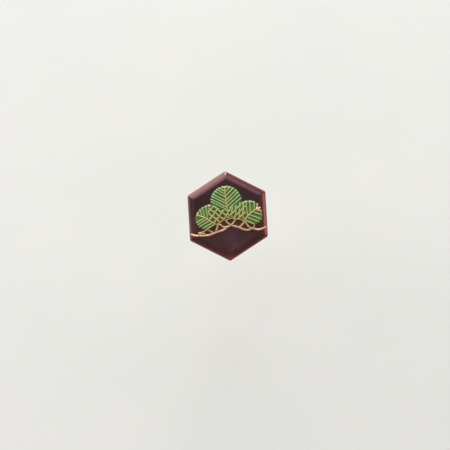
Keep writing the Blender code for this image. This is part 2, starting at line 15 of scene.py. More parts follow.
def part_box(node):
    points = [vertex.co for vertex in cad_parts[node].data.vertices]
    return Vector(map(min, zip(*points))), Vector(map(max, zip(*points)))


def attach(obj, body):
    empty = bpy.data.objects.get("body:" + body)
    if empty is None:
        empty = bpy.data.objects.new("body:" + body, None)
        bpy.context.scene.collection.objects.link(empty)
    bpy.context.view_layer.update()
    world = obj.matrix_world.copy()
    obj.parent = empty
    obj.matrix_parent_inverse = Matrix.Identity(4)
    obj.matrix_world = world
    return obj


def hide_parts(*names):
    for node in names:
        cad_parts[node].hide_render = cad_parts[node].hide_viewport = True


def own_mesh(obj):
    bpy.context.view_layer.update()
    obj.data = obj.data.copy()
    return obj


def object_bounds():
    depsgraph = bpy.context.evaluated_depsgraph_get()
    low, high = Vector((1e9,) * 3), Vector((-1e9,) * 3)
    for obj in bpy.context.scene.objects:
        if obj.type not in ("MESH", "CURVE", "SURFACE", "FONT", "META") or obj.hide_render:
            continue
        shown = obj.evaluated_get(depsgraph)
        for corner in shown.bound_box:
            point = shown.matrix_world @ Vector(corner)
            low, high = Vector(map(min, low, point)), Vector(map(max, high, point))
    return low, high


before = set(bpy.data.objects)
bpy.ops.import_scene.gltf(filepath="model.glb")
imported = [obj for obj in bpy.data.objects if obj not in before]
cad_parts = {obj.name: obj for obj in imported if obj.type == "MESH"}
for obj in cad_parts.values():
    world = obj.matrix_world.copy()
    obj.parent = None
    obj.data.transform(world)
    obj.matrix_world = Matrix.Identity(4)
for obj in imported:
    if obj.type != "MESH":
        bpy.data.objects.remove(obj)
cad_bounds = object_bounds()

MM = 0.001

# Tile
tile_low, tile_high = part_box("hex_tile")
ACROSS = tile_high.x - tile_low.x
UNIT = ACROSS / 16
FACE_Z = tile_high.z
BEVEL_WIDTH = 1.5 * MM
BEVEL_INNER_SLOPE = math.tan(math.radians(4))
BEVEL_OUTER_SLOPE = math.tan(math.radians(44))
TILE_EDGE = 0.14 * MM  # width of the rounded outer edge
TILE_EDGE_DROP = 0.3 * MM
TILE_CORNER = 0.5 * MM
TILE_BACK_ROUND = 0.25 * MM
MITRE_CORNER = 0.36 * MM  # least corner radius, where two sides of the bevel meet

# Bough, in grid units where no other unit is given
PAD_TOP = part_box("pine_pad_centre")[1].z - FACE_Z
PAD_EDGE = 0.26 * MM  # width of a pad's rounded edge
PAD_CROWN = 2.4  # how far in from its edge a pad goes on rising
NEEDLE_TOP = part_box("needles_centre")[1].z - FACE_Z
NEEDLE_WIDTH = 0.25
SPINE_WIDTH = 0.28
NET_WIDTH = 0.34
TWIG_WIDTH = 0.38
BRANCH_WIDTH = 0.46
ARCH_WIDTH = 0.4
LINE_HEIGHT = NEEDLE_TOP - PAD_TOP
NEEDLE_HEIGHT = 0.85 * LINE_HEIGHT
RIM_HEIGHT = 0.9 * LINE_HEIGHT
BRANCH_HEIGHT = 0.2 * MM
LINE_SINK = 0.05 * MM  # how far a line's underside lies below the ground
LINE_STEP = 0.12 * MM
LINE_WOBBLE = 0.12  # as a share of a line's width
LINE_END_ROUND = 0.6  # length of a line's rounded end, as a share of its width
NEEDLE_STEP = 0.08
NEEDLE_OVERHANG = 0.06
NET_WAVE = 0.05  # how far a line of the net wanders to each side
NET_REACH = 60  # steps of a line of the net to each side of its middle
TWIG_REACH = 0.24  # how near a twig a point is as golden as the twig
SPINE_GILDING = 0.62  # 1 is gold, 0 is green
LOW_GILDING = 0.7  # of the lines low in the bough
NET_GILDING = (0.35, 0.8)  # least and most


def circle(middle_x, middle_y, radius, steps=48):
    """A ring of grid points."""
    angles = [math.tau * k / steps for k in range(steps)]
    return [(middle_x + radius * math.cos(a), middle_y + radius * math.sin(a)) for a in angles]


# The raised pads of the clumps. level is a pad's height as a share of the highest.
PADS = {
    "centre": {"level": 1.0, "outline": circle(-0.15, 3.0, 3.15)},
    "left": {"level": 0.78, "outline": [
        (-3.4, 2.55), (-4.3, 2.38), (-5.2, 1.95), (-5.95, 1.3), (-6.45, 0.5), (-6.6, -0.4), (-6.4, -1.3),
        (-5.85, -2.0), (-5.0, -2.4), (-4.1, -2.5), (-3.3, -2.2), (-2.6, -1.6), (-2.0, -0.8), (-1.9, 0.3),
        (-2.4, 1.6)]},
    "right": {"level": 0.78, "outline": [
        (3.2, 2.72), (4.2, 2.85), (5.0, 2.8), (5.7, 2.55), (5.98, 1.95), (6.2, 1.3), (6.85, 0.75),
        (7.02, 0.0), (6.92, -0.8), (6.5, -1.5), (5.8, -1.95), (5.0, -2.0), (4.2, -1.75), (3.6, -1.2),
        (3.1, -0.6), (2.6, 0.4), (2.7, 1.6)]},
    "base": {"level": 0.7, "outline": [
        (-3.3, 0.8), (-2.2, 1.8), (0.0, 1.6), (1.8, 2.2), (3.2, 2.0), (3.5, 0.5), (3.3, -0.6), (2.6, -0.95),
        (2.0, -0.75), (1.4, -0.78), (0.9, -0.55), (0.4, -0.6), (-0.3, -0.8), (-1.0, -0.85), (-1.6, -1.2),
        (-2.2, -1.6), (-2.9, -1.4)]},
}

# Each clump has a spine, rows of needles, bare twigs, and the least gilding of its lines. A row is (first
# angle, last angle, count, first place on the spine, last place).
CLUMPS = {
    "centre": {
        "spine": [(-0.32, 6.05), (-0.3, 5.0), (-0.2, 3.8), (-0.08, 2.6), (0.0, 1.6), (0.12, 0.6),
                  (0.3, -0.25)],
        "rows": [(146, 151, 8, 0.06, 0.72), (47, 38, 7, 0.09, 0.72)],
        "twigs": [],
        "gilding": 0.0,
    },
    "left": {
        "spine": [(-6.4, 0.5), (-5.6, 0.25), (-4.8, -0.05), (-4.1, -0.5), (-3.4, -1.05), (-2.6, -1.5)],
        "rows": [(112, 96, 4, 0.14, 0.6), (208, 207, 5, 0.43, 1.0)],
        "twigs": [[(-3.9, 2.12), (-3.6, 2.22), (-3.3, 2.12)]],
        "gilding": 0.05,
    },
    "right": {
        "spine": [(6.2, 1.2), (5.5, 0.85), (4.7, 0.3), (4.1, -0.25), (3.6, -0.9), (3.45, -1.4)],
        "rows": [(90, 92, 3, 0.2, 0.62), (-22, -26, 5, 0.12, 0.86)],
        "twigs": [[(6.0, 1.0), (6.12, 1.6), (6.2, 2.25)], [(6.1, 1.05), (6.5, 1.25), (6.85, 1.35)],
                  [(6.05, 1.1), (6.55, 0.85), (7.0, 0.6)]],
        "gilding": 0.3,
    },
}

# The net of crossing needles: an outline, and sets of parallel lines in it, as (angle, spacing, distance of
# the first line from the grid's origin, count).
NET = [
    {"outline": [(-3.95, 1.9), (-2.9, 2.25), (-2.0, 1.75), (-0.9, 1.45), (0.0, 1.35), (0.28, -0.55),
                 (-0.6, -0.8), (-1.6, -1.15), (-2.3, -1.65), (-3.1, -1.25), (-3.9, -0.5), (-4.05, 0.6)],
     "lines": [(-40, 0.9, -1.95, 5), (50, 1.1, 0.26, 4)]},
    {"outline": [(0.0, 1.35), (0.9, 1.75), (1.8, 2.2), (2.5, 2.65), (3.2, 2.7), (3.8, 2.45), (3.75, 1.0),
                 (3.6, -0.3), (3.5, -1.3), (2.8, -0.9), (1.6, -0.7), (0.5, -0.6), (0.28, -0.55)],
     "lines": [(84, -0.76, -0.82, 4), (42, 0.85, -2.83, 5)]},
]
NET_RIM = [
    [(-3.9, -0.6), (-3.2, -1.15), (-2.3, -1.6), (-1.65, -1.2), (-1.0, -0.85), (-0.3, -0.78), (0.4, -0.58),
     (0.9, -0.52), (1.5, -0.75), (2.1, -0.72), (2.7, -0.92), (3.5, -1.4)],
    [(0.3, -0.25), (0.35, -0.6)],
]

# The branch's main line, then its arches and stubs.
BRANCH = [
    [(-7.75, -3.2), (-7.3, -3.5), (-6.5, -3.7), (-5.0, -3.75), (-4.0, -3.7), (-3.0, -3.4), (-2.0, -3.1),
     (-1.0, -2.8), (-0.4, -2.4), (0.5, -1.95), (1.0, -2.1), (1.6, -2.35), (2.3, -2.5), (3.0, -2.9),
     (3.7, -3.1), (4.3, -3.05), (4.8, -2.8), (5.4, -3.0), (6.2, -3.15), (7.0, -2.95), (7.75, -2.6)],
    [(-6.25, -3.15), (-5.6, -3.15), (-5.1, -2.95), (-4.7, -2.7), (-4.25, -2.6), (-3.85, -2.78),
     (-3.45, -3.1), (-2.9, -3.35)],
    [(-6.0, -3.4), (-5.5, -3.38), (-5.1, -3.3), (-4.7, -3.5)],
    [(-2.75, -3.25), (-2.5, -2.85), (-2.3, -2.3), (-2.1, -1.8), (-1.85, -1.45)],
    [(-1.95, -1.5), (-1.5, -1.75), (-1.1, -2.15), (-0.5, -2.25), (0.3, -2.05)],
    [(-0.5, -0.9), (0.0, -1.5), (0.5, -1.85), (1.0, -2.1)],
    [(1.55, -0.75), (1.2, -1.3), (0.8, -1.75), (0.2, -2.1), (-0.7, -2.4)],
    [(1.2, -2.0), (2.1, -2.4), (2.8, -2.0), (3.3, -1.45), (3.45, -1.0)],
    [(3.5, -1.3), (4.0, -2.2), (4.6, -2.75)],
    [(5.35, -2.0), (5.25, -2.5), (5.05, -2.85)],
]

# Metal parts: the sizes that the nodes' boxes don't give
TURN_STEPS = 96
WIRE_SIDES = 20
PLATE_EDGE = 0.14 * MM
PLATE_HOLE = 0.545 * MM
POST_RADIUS = 0.525 * MM
POST_HEAD_HEIGHT = 0.35 * MM
POST_GROOVE_MIDDLES = (-4.0 * MM, -4.9 * MM, -5.8 * MM)
POST_GROOVE_DEPTH = 0.07 * MM
SOLDER_BORE = 0.54 * MM
EYELET_BORE = 0.62 * MM
EYELET_NECK = 1.15 * MM
EYELET_RIM = 0.2 * MM
EYELET_FLARE = (1.6 * MM, 1.45 * MM)  # front and rear radius
FLANGE_NECK = 1.17 * MM
FLANGE_RECESS = 0.24 * MM
FLANGE_THICKNESS = 0.5 * MM
FLANGE_INNER = 4.72 * MM
COVER_RIM = 4.7 * MM
COVER_RADIUS = 4.2 * MM
COVER_WALL = 0.4 * MM
COVER_HOLE = 1.95 * MM
RACE_RADIUS = 1.597 * MM  # where the race meets the balls' plane
RACE_SLOPE = 0.35
BALL_PLANE_Z = -4.9 * MM
SPRING_WIRE = 0.125 * MM
SPRING_TURNS = 3
KNOB_FRONT_Z = -8.75 * MM
KNOB_BORE_Z = -10.8 * MM
KNOB_SEAT_Z = -9.42 * MM
KNOB_BORE = 0.66 * MM
KNOB_SEAT = 1.07 * MM
KNOB_STEM = 1.8 * MM
KNURL_TEETH = 64
KNURL_DEPTH = 0.07 * MM
RING_WIRE = 0.25 * MM
LINK_WIRE = 0.22 * MM
LINK_COUNT = 8
STAPLE_WALL = 4.22 * MM  # radius of the cup where the staple's foot is
STAPLE_FOOT = (0.4 * MM, 0.5 * MM, 0.42 * MM)  # half width, half height, depth
BAR_RADIUS = 0.65 * MM
BAR_LOOP_WIDTH = 1.2 * MM
BAR_LOOP_STRAIGHT = 0.9 * MM

# Studio, in metres and watts
FLOOR_SIZE = 3.0  # half its width
FLOOR_DROP = 8 * MM  # room under the bar for the clutch to slide off the post
WORLD_COLOUR = (1.0, 0.98, 0.95, 1.0)
WORLD_STRENGTH = 0.3
WINDOW_COLOUR = (1.0, 0.98, 0.96)
# Azimuth is from +X towards +Y, elevation is above the tile's face. The four windows make one tall window
# whose light fades upward, so that it fades inward over the tile's bevel.
LIGHTS = [
    # name, azimuth, elevation, distance, width, height, power, colour
    ("window_1", 111, 8, 1.2, 2.2, 0.34, 7.8, WINDOW_COLOUR),
    ("window_2", 111, 27, 1.2, 2.2, 0.45, 9.4, WINDOW_COLOUR),
    ("window_3", 111, 46, 1.2, 2.2, 0.34, 4.2, WINDOW_COLOUR),
    ("window_4", 111, 62, 1.2, 2.2, 0.34, 2.3, WINDOW_COLOUR),
    ("strip_left", 180, 8, 1.0, 0.5, 0.2, 0.3, (1.0, 1.0, 1.0)),
    ("strip_right", 0, 12, 1.0, 0.5, 0.3, 1.15, (1.0, 0.88, 0.74)),
    ("strip_low", 274, 6, 1.0, 2.2, 0.12, 0.6, (1.0, 0.8, 0.66)),
    ("glint", 88, 12, 1.0, 0.5, 0.3, 8.5, (0.84, 1.0, 1.0)),
]

# Camera
CAMERA_DISTANCE = 300 * MM
CAMERA_ROLL = 3.3
CAMERA_LENS = 125.4
CAMERA_SENSOR = 36
TACK_RIGHT_OF_CENTRE = 0.52 * MM
TACK_ABOVE_CENTRE = 1.72 * MM


# ---------------------------------------------------------------- meshes


def new_object(name, verts, faces, material):
    """A smooth mesh object in the scene. Points in the same place are merged."""
    bm = bmesh.new()
    made = [bm.verts.new(v) for v in verts]
    for face in faces:
        bm.faces.new([made[i] for i in face])
    bmesh.ops.remove_doubles(bm, verts=bm.verts[:], dist=1e-7)
    bmesh.ops.recalc_face_normals(bm, faces=bm.faces[:])
    mesh = bpy.data.meshes.new(name)
    bm.to_mesh(mesh)
    bm.free()
    mesh.shade_smooth()
    mesh.materials.append(material)
    ob = bpy.data.objects.new(name, mesh)
    bpy.context.scene.collection.objects.link(ob)
    return ob


def add_piece(name, verts, faces, material, body, node, slot):
    """A closed mesh that rides on a body and stands for a CAD node. Its normals favour its large faces."""
    ob = new_object(name, verts, faces, material)
    normals = ob.modifiers.new("normals", "WEIGHTED_NORMAL")
    normals.keep_sharp = True
    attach(ob, body)
    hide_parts(node)
    return ob


def ring_faces(rings, closed=False):
    """Quads between rings of numbered points. closed joins the last ring to the first."""
    faces = []
    pairs = list(zip(rings, rings[1:]))
    if closed:
        pairs.append((rings[-1], rings[0]))
    for lower, upper in pairs:
        for i in range(len(lower)):
            j = (i + 1) % len(lower)
            faces.append((lower[i], lower[j], upper[j], upper[i]))
    return faces


def loft(sections, closed=False):
    """(points, faces) of a solid through rings of points. It has caps, or is closed into a hoop."""
    verts = [p for section in sections for p in section]
    size = len(sections[0])
    rings = [list(range(k * size, (k + 1) * size)) for k in range(len(sections))]
    faces = ring_faces(rings, closed)
    if not closed:
        faces += [tuple(reversed(rings[0])), tuple(rings[-1])]
    return verts, faces


def merge(*shells):
    """Several (points, faces) as one."""
    verts, faces = [], []
    for shell_verts, shell_faces in shells:
        start = len(verts)
        verts += shell_verts
        faces += [tuple(i + start for i in face) for face in shell_faces]
    return verts, faces


def place(shell, matrix):
    """A (points, faces) moved by a matrix."""
    return [matrix @ Vector(v) for v in shell[0]], shell[1]


def quarter_round(radius, z, inward, steps):
    """(inset, z) along a rounded edge, from a flat face at z to the side. inward is 1 or -1 along Z."""
    angles = [math.pi / 2 * s / steps for s in range(steps + 1)]
    return [(radius * (1 - math.sin(a)), z + inward * radius * (1 - math.cos(a))) for a in angles]


def fillet(profile, radius, closed=True, steps=5):
    """The profile with its corners rounded. A point (r, z, own radius) has a radius of its own."""
    count = len(profile)
    rounded = []
    for i, point in enumerate(profile):
        corner = Vector(point[:2])
        if not closed and i in (0, count - 1):
            rounded.append(corner)
            continue
        before = Vector(profile[i - 1][:2])
        after = Vector(profile[(i + 1) % count][:2])
        own = point[2] if len(point) > 2 else radius
        cut = min(own, 0.45 * (corner - before).length, 0.45 * (after - corner).length)
        a = corner + (before - corner).normalized() * cut
        b = corner + (after - corner).normalized() * cut
        for s in range(steps + 1):
            t = s / steps
            rounded.append(a * (1 - t) ** 2 + corner * 2 * t * (1 - t) + b * t ** 2)
    return rounded


def turned(profile, closed=True, steps=TURN_STEPS, shape=None):
    """(points, faces) of an (r, z) profile spun round Z. shape(angle, r, z) may give another radius."""
    verts, rings = [], []
    for r, z in profile:
        if r < 1e-9:
            verts.append((0, 0, z))
            rings.append([len(verts) - 1] * steps)
            continue
        start = len(verts)
        for k in range(steps):
            angle = math.tau * k / steps
            radius = shape(angle, r, z) if shape else r
            verts.append((radius * math.cos(angle), radius * math.sin(angle), z))
        rings.append(list(range(start, start + steps)))
    faces = [tuple(dict.fromkeys(face)) for face in ring_faces(rings, closed)]
    return verts, faces


def tube(path, radius, closed=True, sides=WIRE_SIDES, flat_normal=None):
    """(points, faces) of round wire along a path. flat_normal is the normal of the path's plane."""
    sections = []
    count = len(path)
    for i, point in enumerate(path):
        before = path[i - 1] if closed or i > 0 else path[i]
        after = path[(i + 1) % count] if closed or i < count - 1 else path[i]
        along = (Vector(after) - Vector(before)).normalized()
        side = (flat_normal if flat_normal else Vector((0, 0, 1))).cross(along).normalized()
        up = along.cross(side)
        turn = [math.tau * k / sides for k in range(sides)]
        sections.append([Vector(point) + radius * (math.cos(a) * side + math.sin(a) * up) for a in turn])
    return loft(sections, closed)


# ---------------------------------------------------------------- tile and bough


def hexagon(across, corner, z, steps=6):
    """A ring of points: a hexagon with rounded corners, two of them at +Y and -Y."""
    ring = []
    reach = (across / 2 - corner) / math.cos(math.pi / 6)
    for k in range(6):
        middle = math.pi / 2 + k * math.pi / 3
        for s in range(steps + 1):
            angle = middle + (s / steps - 0.5) * math.pi / 3
            ring.append(Vector((reach * math.cos(middle) + corner * math.cos(angle),
                                reach * math.sin(middle) + corner * math.sin(angle), z)))
    return ring


def bevel_drop(inset):
    """How far the tile's surface lies below its face, at a distance in from its outer edge."""
    if inset >= BEVEL_WIDTH:
        return 0.0
    bend = (BEVEL_OUTER_SLOPE - BEVEL_INNER_SLOPE) / (2 * (BEVEL_WIDTH - TILE_EDGE))
    reach = BEVEL_WIDTH - max(inset, TILE_EDGE)
    drop = BEVEL_INNER_SLOPE * reach + bend * reach ** 2
    if inset < TILE_EDGE:
        part = 1 - max(inset, 0.0) / TILE_EDGE
        drop += TILE_EDGE_DROP * (1 - math.sqrt(1 - part ** 2)) * 0.55 + TILE_EDGE_DROP * 0.45 * part
    return drop


def inset_at(x, y):
    """Distance in from the tile's nearest side, in metres."""
    half_root = math.sqrt(3) / 2
    return ACROSS / 2 - max(abs(x), abs(0.5 * x + half_root * y), abs(0.5 * x - half_root * y))


def make_tile(material):
    """The tile, from its back over its sides and bevel to its face."""
    back = tile_low.z
    sections = [(TILE_BACK_ROUND + 0.05 * MM, back), *quarter_round(TILE_BACK_ROUND, back, 1, 5)]
    insets = [TILE_EDGE * f for f in (0, 0.03, 0.1, 0.22, 0.4, 0.65, 1)]
    insets += [TILE_EDGE + (BEVEL_WIDTH - TILE_EDGE) * f for f in (0.15, 0.3, 0.45, 0.6, 0.75, 0.88, 0.95)]
    sections += [(inset, FACE_Z - bevel_drop(inset)) for inset in insets]
    sections += [(BEVEL_WIDTH - 0.01 * MM, FACE_Z - 0.007 * MM), (BEVEL_WIDTH + 0.05 * MM, FACE_Z),
                 (BEVEL_WIDTH + 0.12 * MM, FACE_Z)]
    rings = []
    for inset, z in sections:
        corner = max(TILE_CORNER - inset, MITRE_CORNER)
        rings.append(hexagon(ACROSS - 2 * inset, corner, z))
    add_piece("lacquer_tile", *loft(rings), material, "tack", "hex_tile", "tile_lacquer")


def smooth_curve(points, closed=False, steps=6):
    """A Catmull-Rom curve through the points."""
    line = [Vector(p) for p in points]
    if closed:
        line = [line[-1]] + line + line[:2]
    else:
        line = [2 * line[0] - line[1]] + line + [2 * line[-1] - line[-2]]
    curve = []
    for a, b, c, d in zip(line, line[1:], line[2:], line[3:]):
        for s in range(steps):
            t = s / steps
            curve.append(0.5 * (2 * b + (c - a) * t + (2 * a - 5 * b + 4 * c - d) * t ** 2
                                + (3 * b - a - 3 * c + d) * t ** 3))
    return curve if closed else curve + [line[-2]]


def is_inside(point, outline):
    """True where a grid point is inside an outline."""
    inside = False
    for a, b in zip(outline, outline[1:] + outline[:1]):
        if (a[1] > point[1]) != (b[1] > point[1]):
            if point[0] < a[0] + (b[0] - a[0]) * (point[1] - a[1]) / (b[1] - a[1]):
                inside = not inside
    return inside


def edge_distance(point, outline):
    """Distance from a point to an outline, positive inside."""
    nearest = 1e9
    for a, b in zip(outline, outline[1:] + outline[:1]):
        side = b - a
        t = max(0.0, min(1.0, (point - a).dot(side) / side.length_squared))
        nearest = min(nearest, (point - a - side * t).length)
    return nearest if is_inside(point, outline) else -nearest


def pad_rise(distance, level):
    """Height of a pad at a distance in metres from its edge: a rounded edge and a low crown."""
    if distance <= 0:
        return 0.0
    part = min(distance / PAD_EDGE, 1.0)
    crown = min(distance / (PAD_CROWN * UNIT), 1.0)
    return PAD_TOP * level * (0.86 * math.sqrt(1 - (1 - part) ** 2) + 0.14 * math.sin(crown * math.pi / 2))


def ground(point):
    """Height of the bare tile at a grid point, in metres."""
    return FACE_Z - bevel_drop(inset_at(point[0] * UNIT, point[1] * UNIT))


def relief(point):
    """Height of the tile with its pads at a grid point, in metres."""
    rises = [pad_rise(edge_distance(point, pad["curve"]) * UNIT, pad["level"]) for pad in PADS.values()]
    return ground(point) + max(rises)


def make_pads(material):
    """Each pad is a dome of rings that shrink towards its middle."""
    shares = [1.0, 0.985, 0.96, 0.93, 0.89, 0.84, 0.76, 0.64, 0.5, 0.35, 0.2, 0.08]
    for side, pad in PADS.items():
        outline = pad["curve"]
        middle = sum(outline, Vector((0, 0))) / len(outline)
        sections = [[(p.x * UNIT, p.y * UNIT, ground(p) - 0.03 * MM) for p in outline]]
        for share in shares:
            ring = []
            for p in outline:
                q = middle + (p - middle) * share
                rise = pad_rise(edge_distance(q, outline) * UNIT, pad["level"]) if share < 1 else 0.0
                ring.append((q.x * UNIT, q.y * UNIT, ground(q) + rise))
            sections.append(ring)
        add_piece(f"pad_{side}", *loft(sections), material, "tack", f"pine_pad_{side}", "pad_lacquer")


def resample(points, step):
    """Even samples along a polyline of grid points."""
    samples = [points[0]]
    left_over = 0.0
    for a, b in zip(points, points[1:]):
        length = (b - a).length
        place_at = step - left_over
        while place_at < length:
            samples.append(a + (b - a) * place_at / length)
            place_at += step
        left_over = length - (place_at - step)
    if (samples[-1] - points[-1]).length > 0.3 * step:
        samples.append(points[-1])
    else:
        samples[-1] = points[-1]
    return samples


def bead(points, width, height, seed):
    """A half-round line on the relief with rounded ends. width is in grid units, height in metres."""
    samples = resample([Vector(p) for p in points], LINE_STEP / UNIT)
    lengths = [0.0]
    for a, b in zip(samples, samples[1:]):
        lengths.append(lengths[-1] + (b - a).length)
    # Extra places close to the ends make their rounding.
    end_steps = [0.0, 0.04, 0.13, 0.3, 0.55]
    places = [width * e for e in end_steps] + [s for s in lengths if width < s < lengths[-1] - width]
    places += [lengths[-1] - width * e for e in reversed(end_steps)]
    sections = []
    for s in places:
        k = max(i for i, v in enumerate(lengths) if v <= s + 1e-9)
        k = min(k, len(samples) - 2)
        share = (s - lengths[k]) / max(lengths[k + 1] - lengths[k], 1e-9)
        centre = samples[k].lerp(samples[k + 1], share)
        ahead = samples[min(k + 2, len(samples) - 1)] - samples[max(k - 1, 0)]
        flank = Vector((-ahead.y, ahead.x)).normalized()
        from_end = min(min(s, lengths[-1] - s) / (LINE_END_ROUND * width), 1.0)
        swell = max(math.sqrt(1 - (1 - from_end) ** 2), 0.08)
        swell *= 1 + LINE_WOBBLE * noise.noise(Vector((centre.x * 1.3, centre.y * 1.3, seed)))
        half = 0.5 * width * swell
        base = relief(centre)
        # (across, up) of the half round from one flank to the other, then the two points under the ground
        outline = [(math.cos(math.pi * a / 6), height * swell * math.sin(math.pi * a / 6)) for a in range(7)]
        outline += [(-1, -LINE_SINK), (1, -LINE_SINK)]
        spots = [(centre + flank * half * across, base + up) for across, up in outline]
        sections.append([(spot.x * UNIT, spot.y * UNIT, z) for spot, z in spots])
    return loft(sections)


def needle_tip(root, direction, outline):
    """Where a needle from its root meets its pad's edge, and a little past it."""
    length = 0.3
    while length < 8 and is_inside(root + direction * length, outline):
        length += NEEDLE_STEP / 2
    return root + direction * (length + NEEDLE_OVERHANG)


def covered(point, side):
    """True where another clump or the net hides this clump's needles."""
    if side != "centre" and is_inside(point, PADS["centre"]["curve"]):
        return True
    return any(is_inside(point, patch["outline"]) for patch in NET)


def visible_runs(points, keep):
    """The stretches of a polyline, four points or longer, whose points all pass keep."""
    runs = [[]]
    for p in points:
        if keep(p):
            runs[-1].append(p)
        else:
            runs.append([])
    return [run for run in runs if len(run) > 3]


def make_needles(material):
    """Each clump's spine, needles and twigs are one piece of half-round lines."""
    for side, clump in CLUMPS.items():
        outline = PADS[side]["curve"]
        spine = smooth_curve(clump["spine"])
        shells = [bead(spine, SPINE_WIDTH, LINE_HEIGHT, 1)]
        for row_index, (first_angle, last_angle, count, first, last) in enumerate(clump["rows"]):
            for k in range(count):
                share = k / (count - 1)
                root = spine[round((first + (last - first) * share) * (len(spine) - 1))]
                angle = math.radians(first_angle + (last_angle - first_angle) * share)
                direction = Vector((math.cos(angle), math.sin(angle)))
                needle = resample([root, needle_tip(root, direction, outline)], NEEDLE_STEP)
                for run in visible_runs(needle, lambda p: not covered(p, side)):
                    shells.append(bead(run, NEEDLE_WIDTH, NEEDLE_HEIGHT, k + 10 * row_index))
        twigs = [smooth_curve(twig) for twig in clump["twigs"]]
        shells += [bead(twig, TWIG_WIDTH, LINE_HEIGHT, 5) for twig in twigs]
        ob = add_piece(f"lines_{side}", *merge(*shells), material, "tack", f"needles_{side}", "gold_line")
        bare = [p for twig in twigs for p in twig]
        mark_gilding(ob, lambda point: clump_gilding(point, spine, bare, clump["gilding"]))


def mark_gilding(ob, gold_at):
    """Writes how golden each vertex is, 0 to 1, by its grid point."""
    gilding = ob.data.attributes.new("gilding", "FLOAT", "POINT")
    for i, v in enumerate(ob.data.vertices):
        gilding.data[i].value = gold_at(Vector((v.co.x / UNIT, v.co.y / UNIT)))


def clump_gilding(point, spine, bare, least):
    """Most golden on the twigs, less on the spine and low in the bough, least at the needles' tips."""
    gold = max(least, SPINE_GILDING - 0.42 * min((point - p).length for p in spine))
    if point.y < 1.6 and abs(point.x) < 3.8:
        gold = max(gold, min(LOW_GILDING, 0.68 - 0.35 * point.y))
    if any((point - p).length < TWIG_REACH for p in bare):
        gold = 1.0
    return gold


def make_net(material):
    """The crossing needles where the clumps meet, and the rim under them."""
    shells = []
    for patch in NET:
        outline = patch["outline"]
        for angle, spacing, first, count in patch["lines"]:
            direction = Vector((math.cos(math.radians(angle)), math.sin(math.radians(angle))))
            flank = Vector((-direction.y, direction.x))
            for k in range(count):
                start = flank * (first + k * spacing)
                line = [start + direction * t * NEEDLE_STEP + flank * NET_WAVE * math.sin(0.24 * t + 2.1 * k)
                        for t in range(-NET_REACH, NET_REACH + 1)]
                for run in visible_runs(line, lambda p: is_inside(p, outline)):
                    shells.append(bead(run, NET_WIDTH, LINE_HEIGHT * (0.8 + 0.04 * (k % 2)), k))
    shells += [bead(smooth_curve(rim), SPINE_WIDTH, RIM_HEIGHT, 20 + k) for k, rim in enumerate(NET_RIM)]
    ob = add_piece("needle_lattice", *merge(*shells), material, "tack", "needle_net", "gold_line")
    least, most = NET_GILDING
    mark_gilding(ob, lambda point: max(least, min(most, 0.65 - 0.28 * point.y)))


def make_branch(material):
    """The main line of the branch is thicker than its arches."""
    shells = [bead(smooth_curve(line), ARCH_WIDTH if k else BRANCH_WIDTH, BRANCH_HEIGHT, 40 + k)
              for k, line in enumerate(BRANCH)]
    add_piece("gold_branch", *merge(*shells), material, "tack", "branch_line", "gold_line")


# ---------------------------------------------------------------- back plate and post


def node_size(node):
    """(low corner, high corner, half its width along X) of a CAD node."""
    low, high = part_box(node)
    return low, high, (high.x - low.x) / 2


def blend_rings(first, last, shares):
    """Rings between two rings of as many points."""
    return [[a.lerp(b, share) for a, b in zip(first, last)] for share in shares]


def make_plate(material):
    """The back plate's rim, its rear face with the countersink that holds the solder, and its hole."""
    low, high, half = node_size("back_plate")
    sink = node_size("solder_fillet")[2] + 0.04 * MM
    recess_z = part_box("solder_fillet")[1].z + 0.02 * MM
    edge = quarter_round(PLATE_EDGE, low.z, 1, 4)
    edge += [(inset, high.z - (z - low.z)) for inset, z in reversed(edge)]
    rim = [hexagon(2 * (half - inset), TILE_CORNER, z) for inset, z in edge]
    angles = [math.atan2(p.y, p.x) for p in rim[0]]
    hole = [(sink, low.z), (sink - 0.03 * MM, low.z + 0.03 * MM), (sink - 0.03 * MM, recess_z),
            (PLATE_HOLE, recess_z), (PLATE_HOLE, high.z)]
    inner = [[Vector((r * math.cos(a), r * math.sin(a), z)) for a in angles] for r, z in hole]
    rear_face = blend_rings(inner[0], rim[0], (0.03, 0.3, 0.65, 0.96))
    front_face = blend_rings(rim[-1], inner[-1], (0.04, 0.5, 0.97))
    sections = inner[::-1] + rear_face + rim + front_face
    add_piece("metal_plate", *loft(sections, closed=True), material, "tack", "back_plate", "gilt_brass")


def make_adhesive(material):
    """A thin hexagonal layer that bulges out a little between the plate and the tile."""
    low, high, half = node_size("adhesive_layer")
    edge, bulge = 0.04 * MM, 0.03 * MM
    outline = quarter_round(edge, low.z, 1, 4) + [(-bulge, (low.z + high.z) / 2)]
    outline += quarter_round(edge, high.z, -1, 4)[::-1]
    rings = [hexagon(2 * (half - inset), TILE_CORNER - inset, z) for inset, z in outline]
    add_piece("adhesive_bead", *loft(rings), material, "tack", "adhesive_layer", "adhesive")


def make_post(material):
    """A nail with a flat head, shallow grooves and a point."""
    low, high, head = node_size("post")
    shaft, waist = POST_RADIUS, POST_RADIUS - POST_GROOVE_DEPTH
    head_low = high.z - POST_HEAD_HEIGHT
    profile = [(0, high.z), (head, high.z), (head, head_low), (shaft, head_low)]
    for middle in POST_GROOVE_MIDDLES:
        profile += [(shaft, middle + 0.22 * MM), (waist, middle + 0.07 * MM), (waist, middle - 0.07 * MM),
                    (shaft, middle - 0.22 * MM)]
    profile += [(shaft, low.z + 1.2 * MM, 0.3 * MM), (0.62 * shaft, low.z + 0.45 * MM, 0.2 * MM),
                (0.1 * shaft, low.z + 0.03 * MM), (0, low.z)]
    smooth = fillet(profile, 0.05 * MM, closed=False)
    add_piece("pin_post", *turned(smooth, closed=False, steps=64), material, "tack", "post", "post_steel")


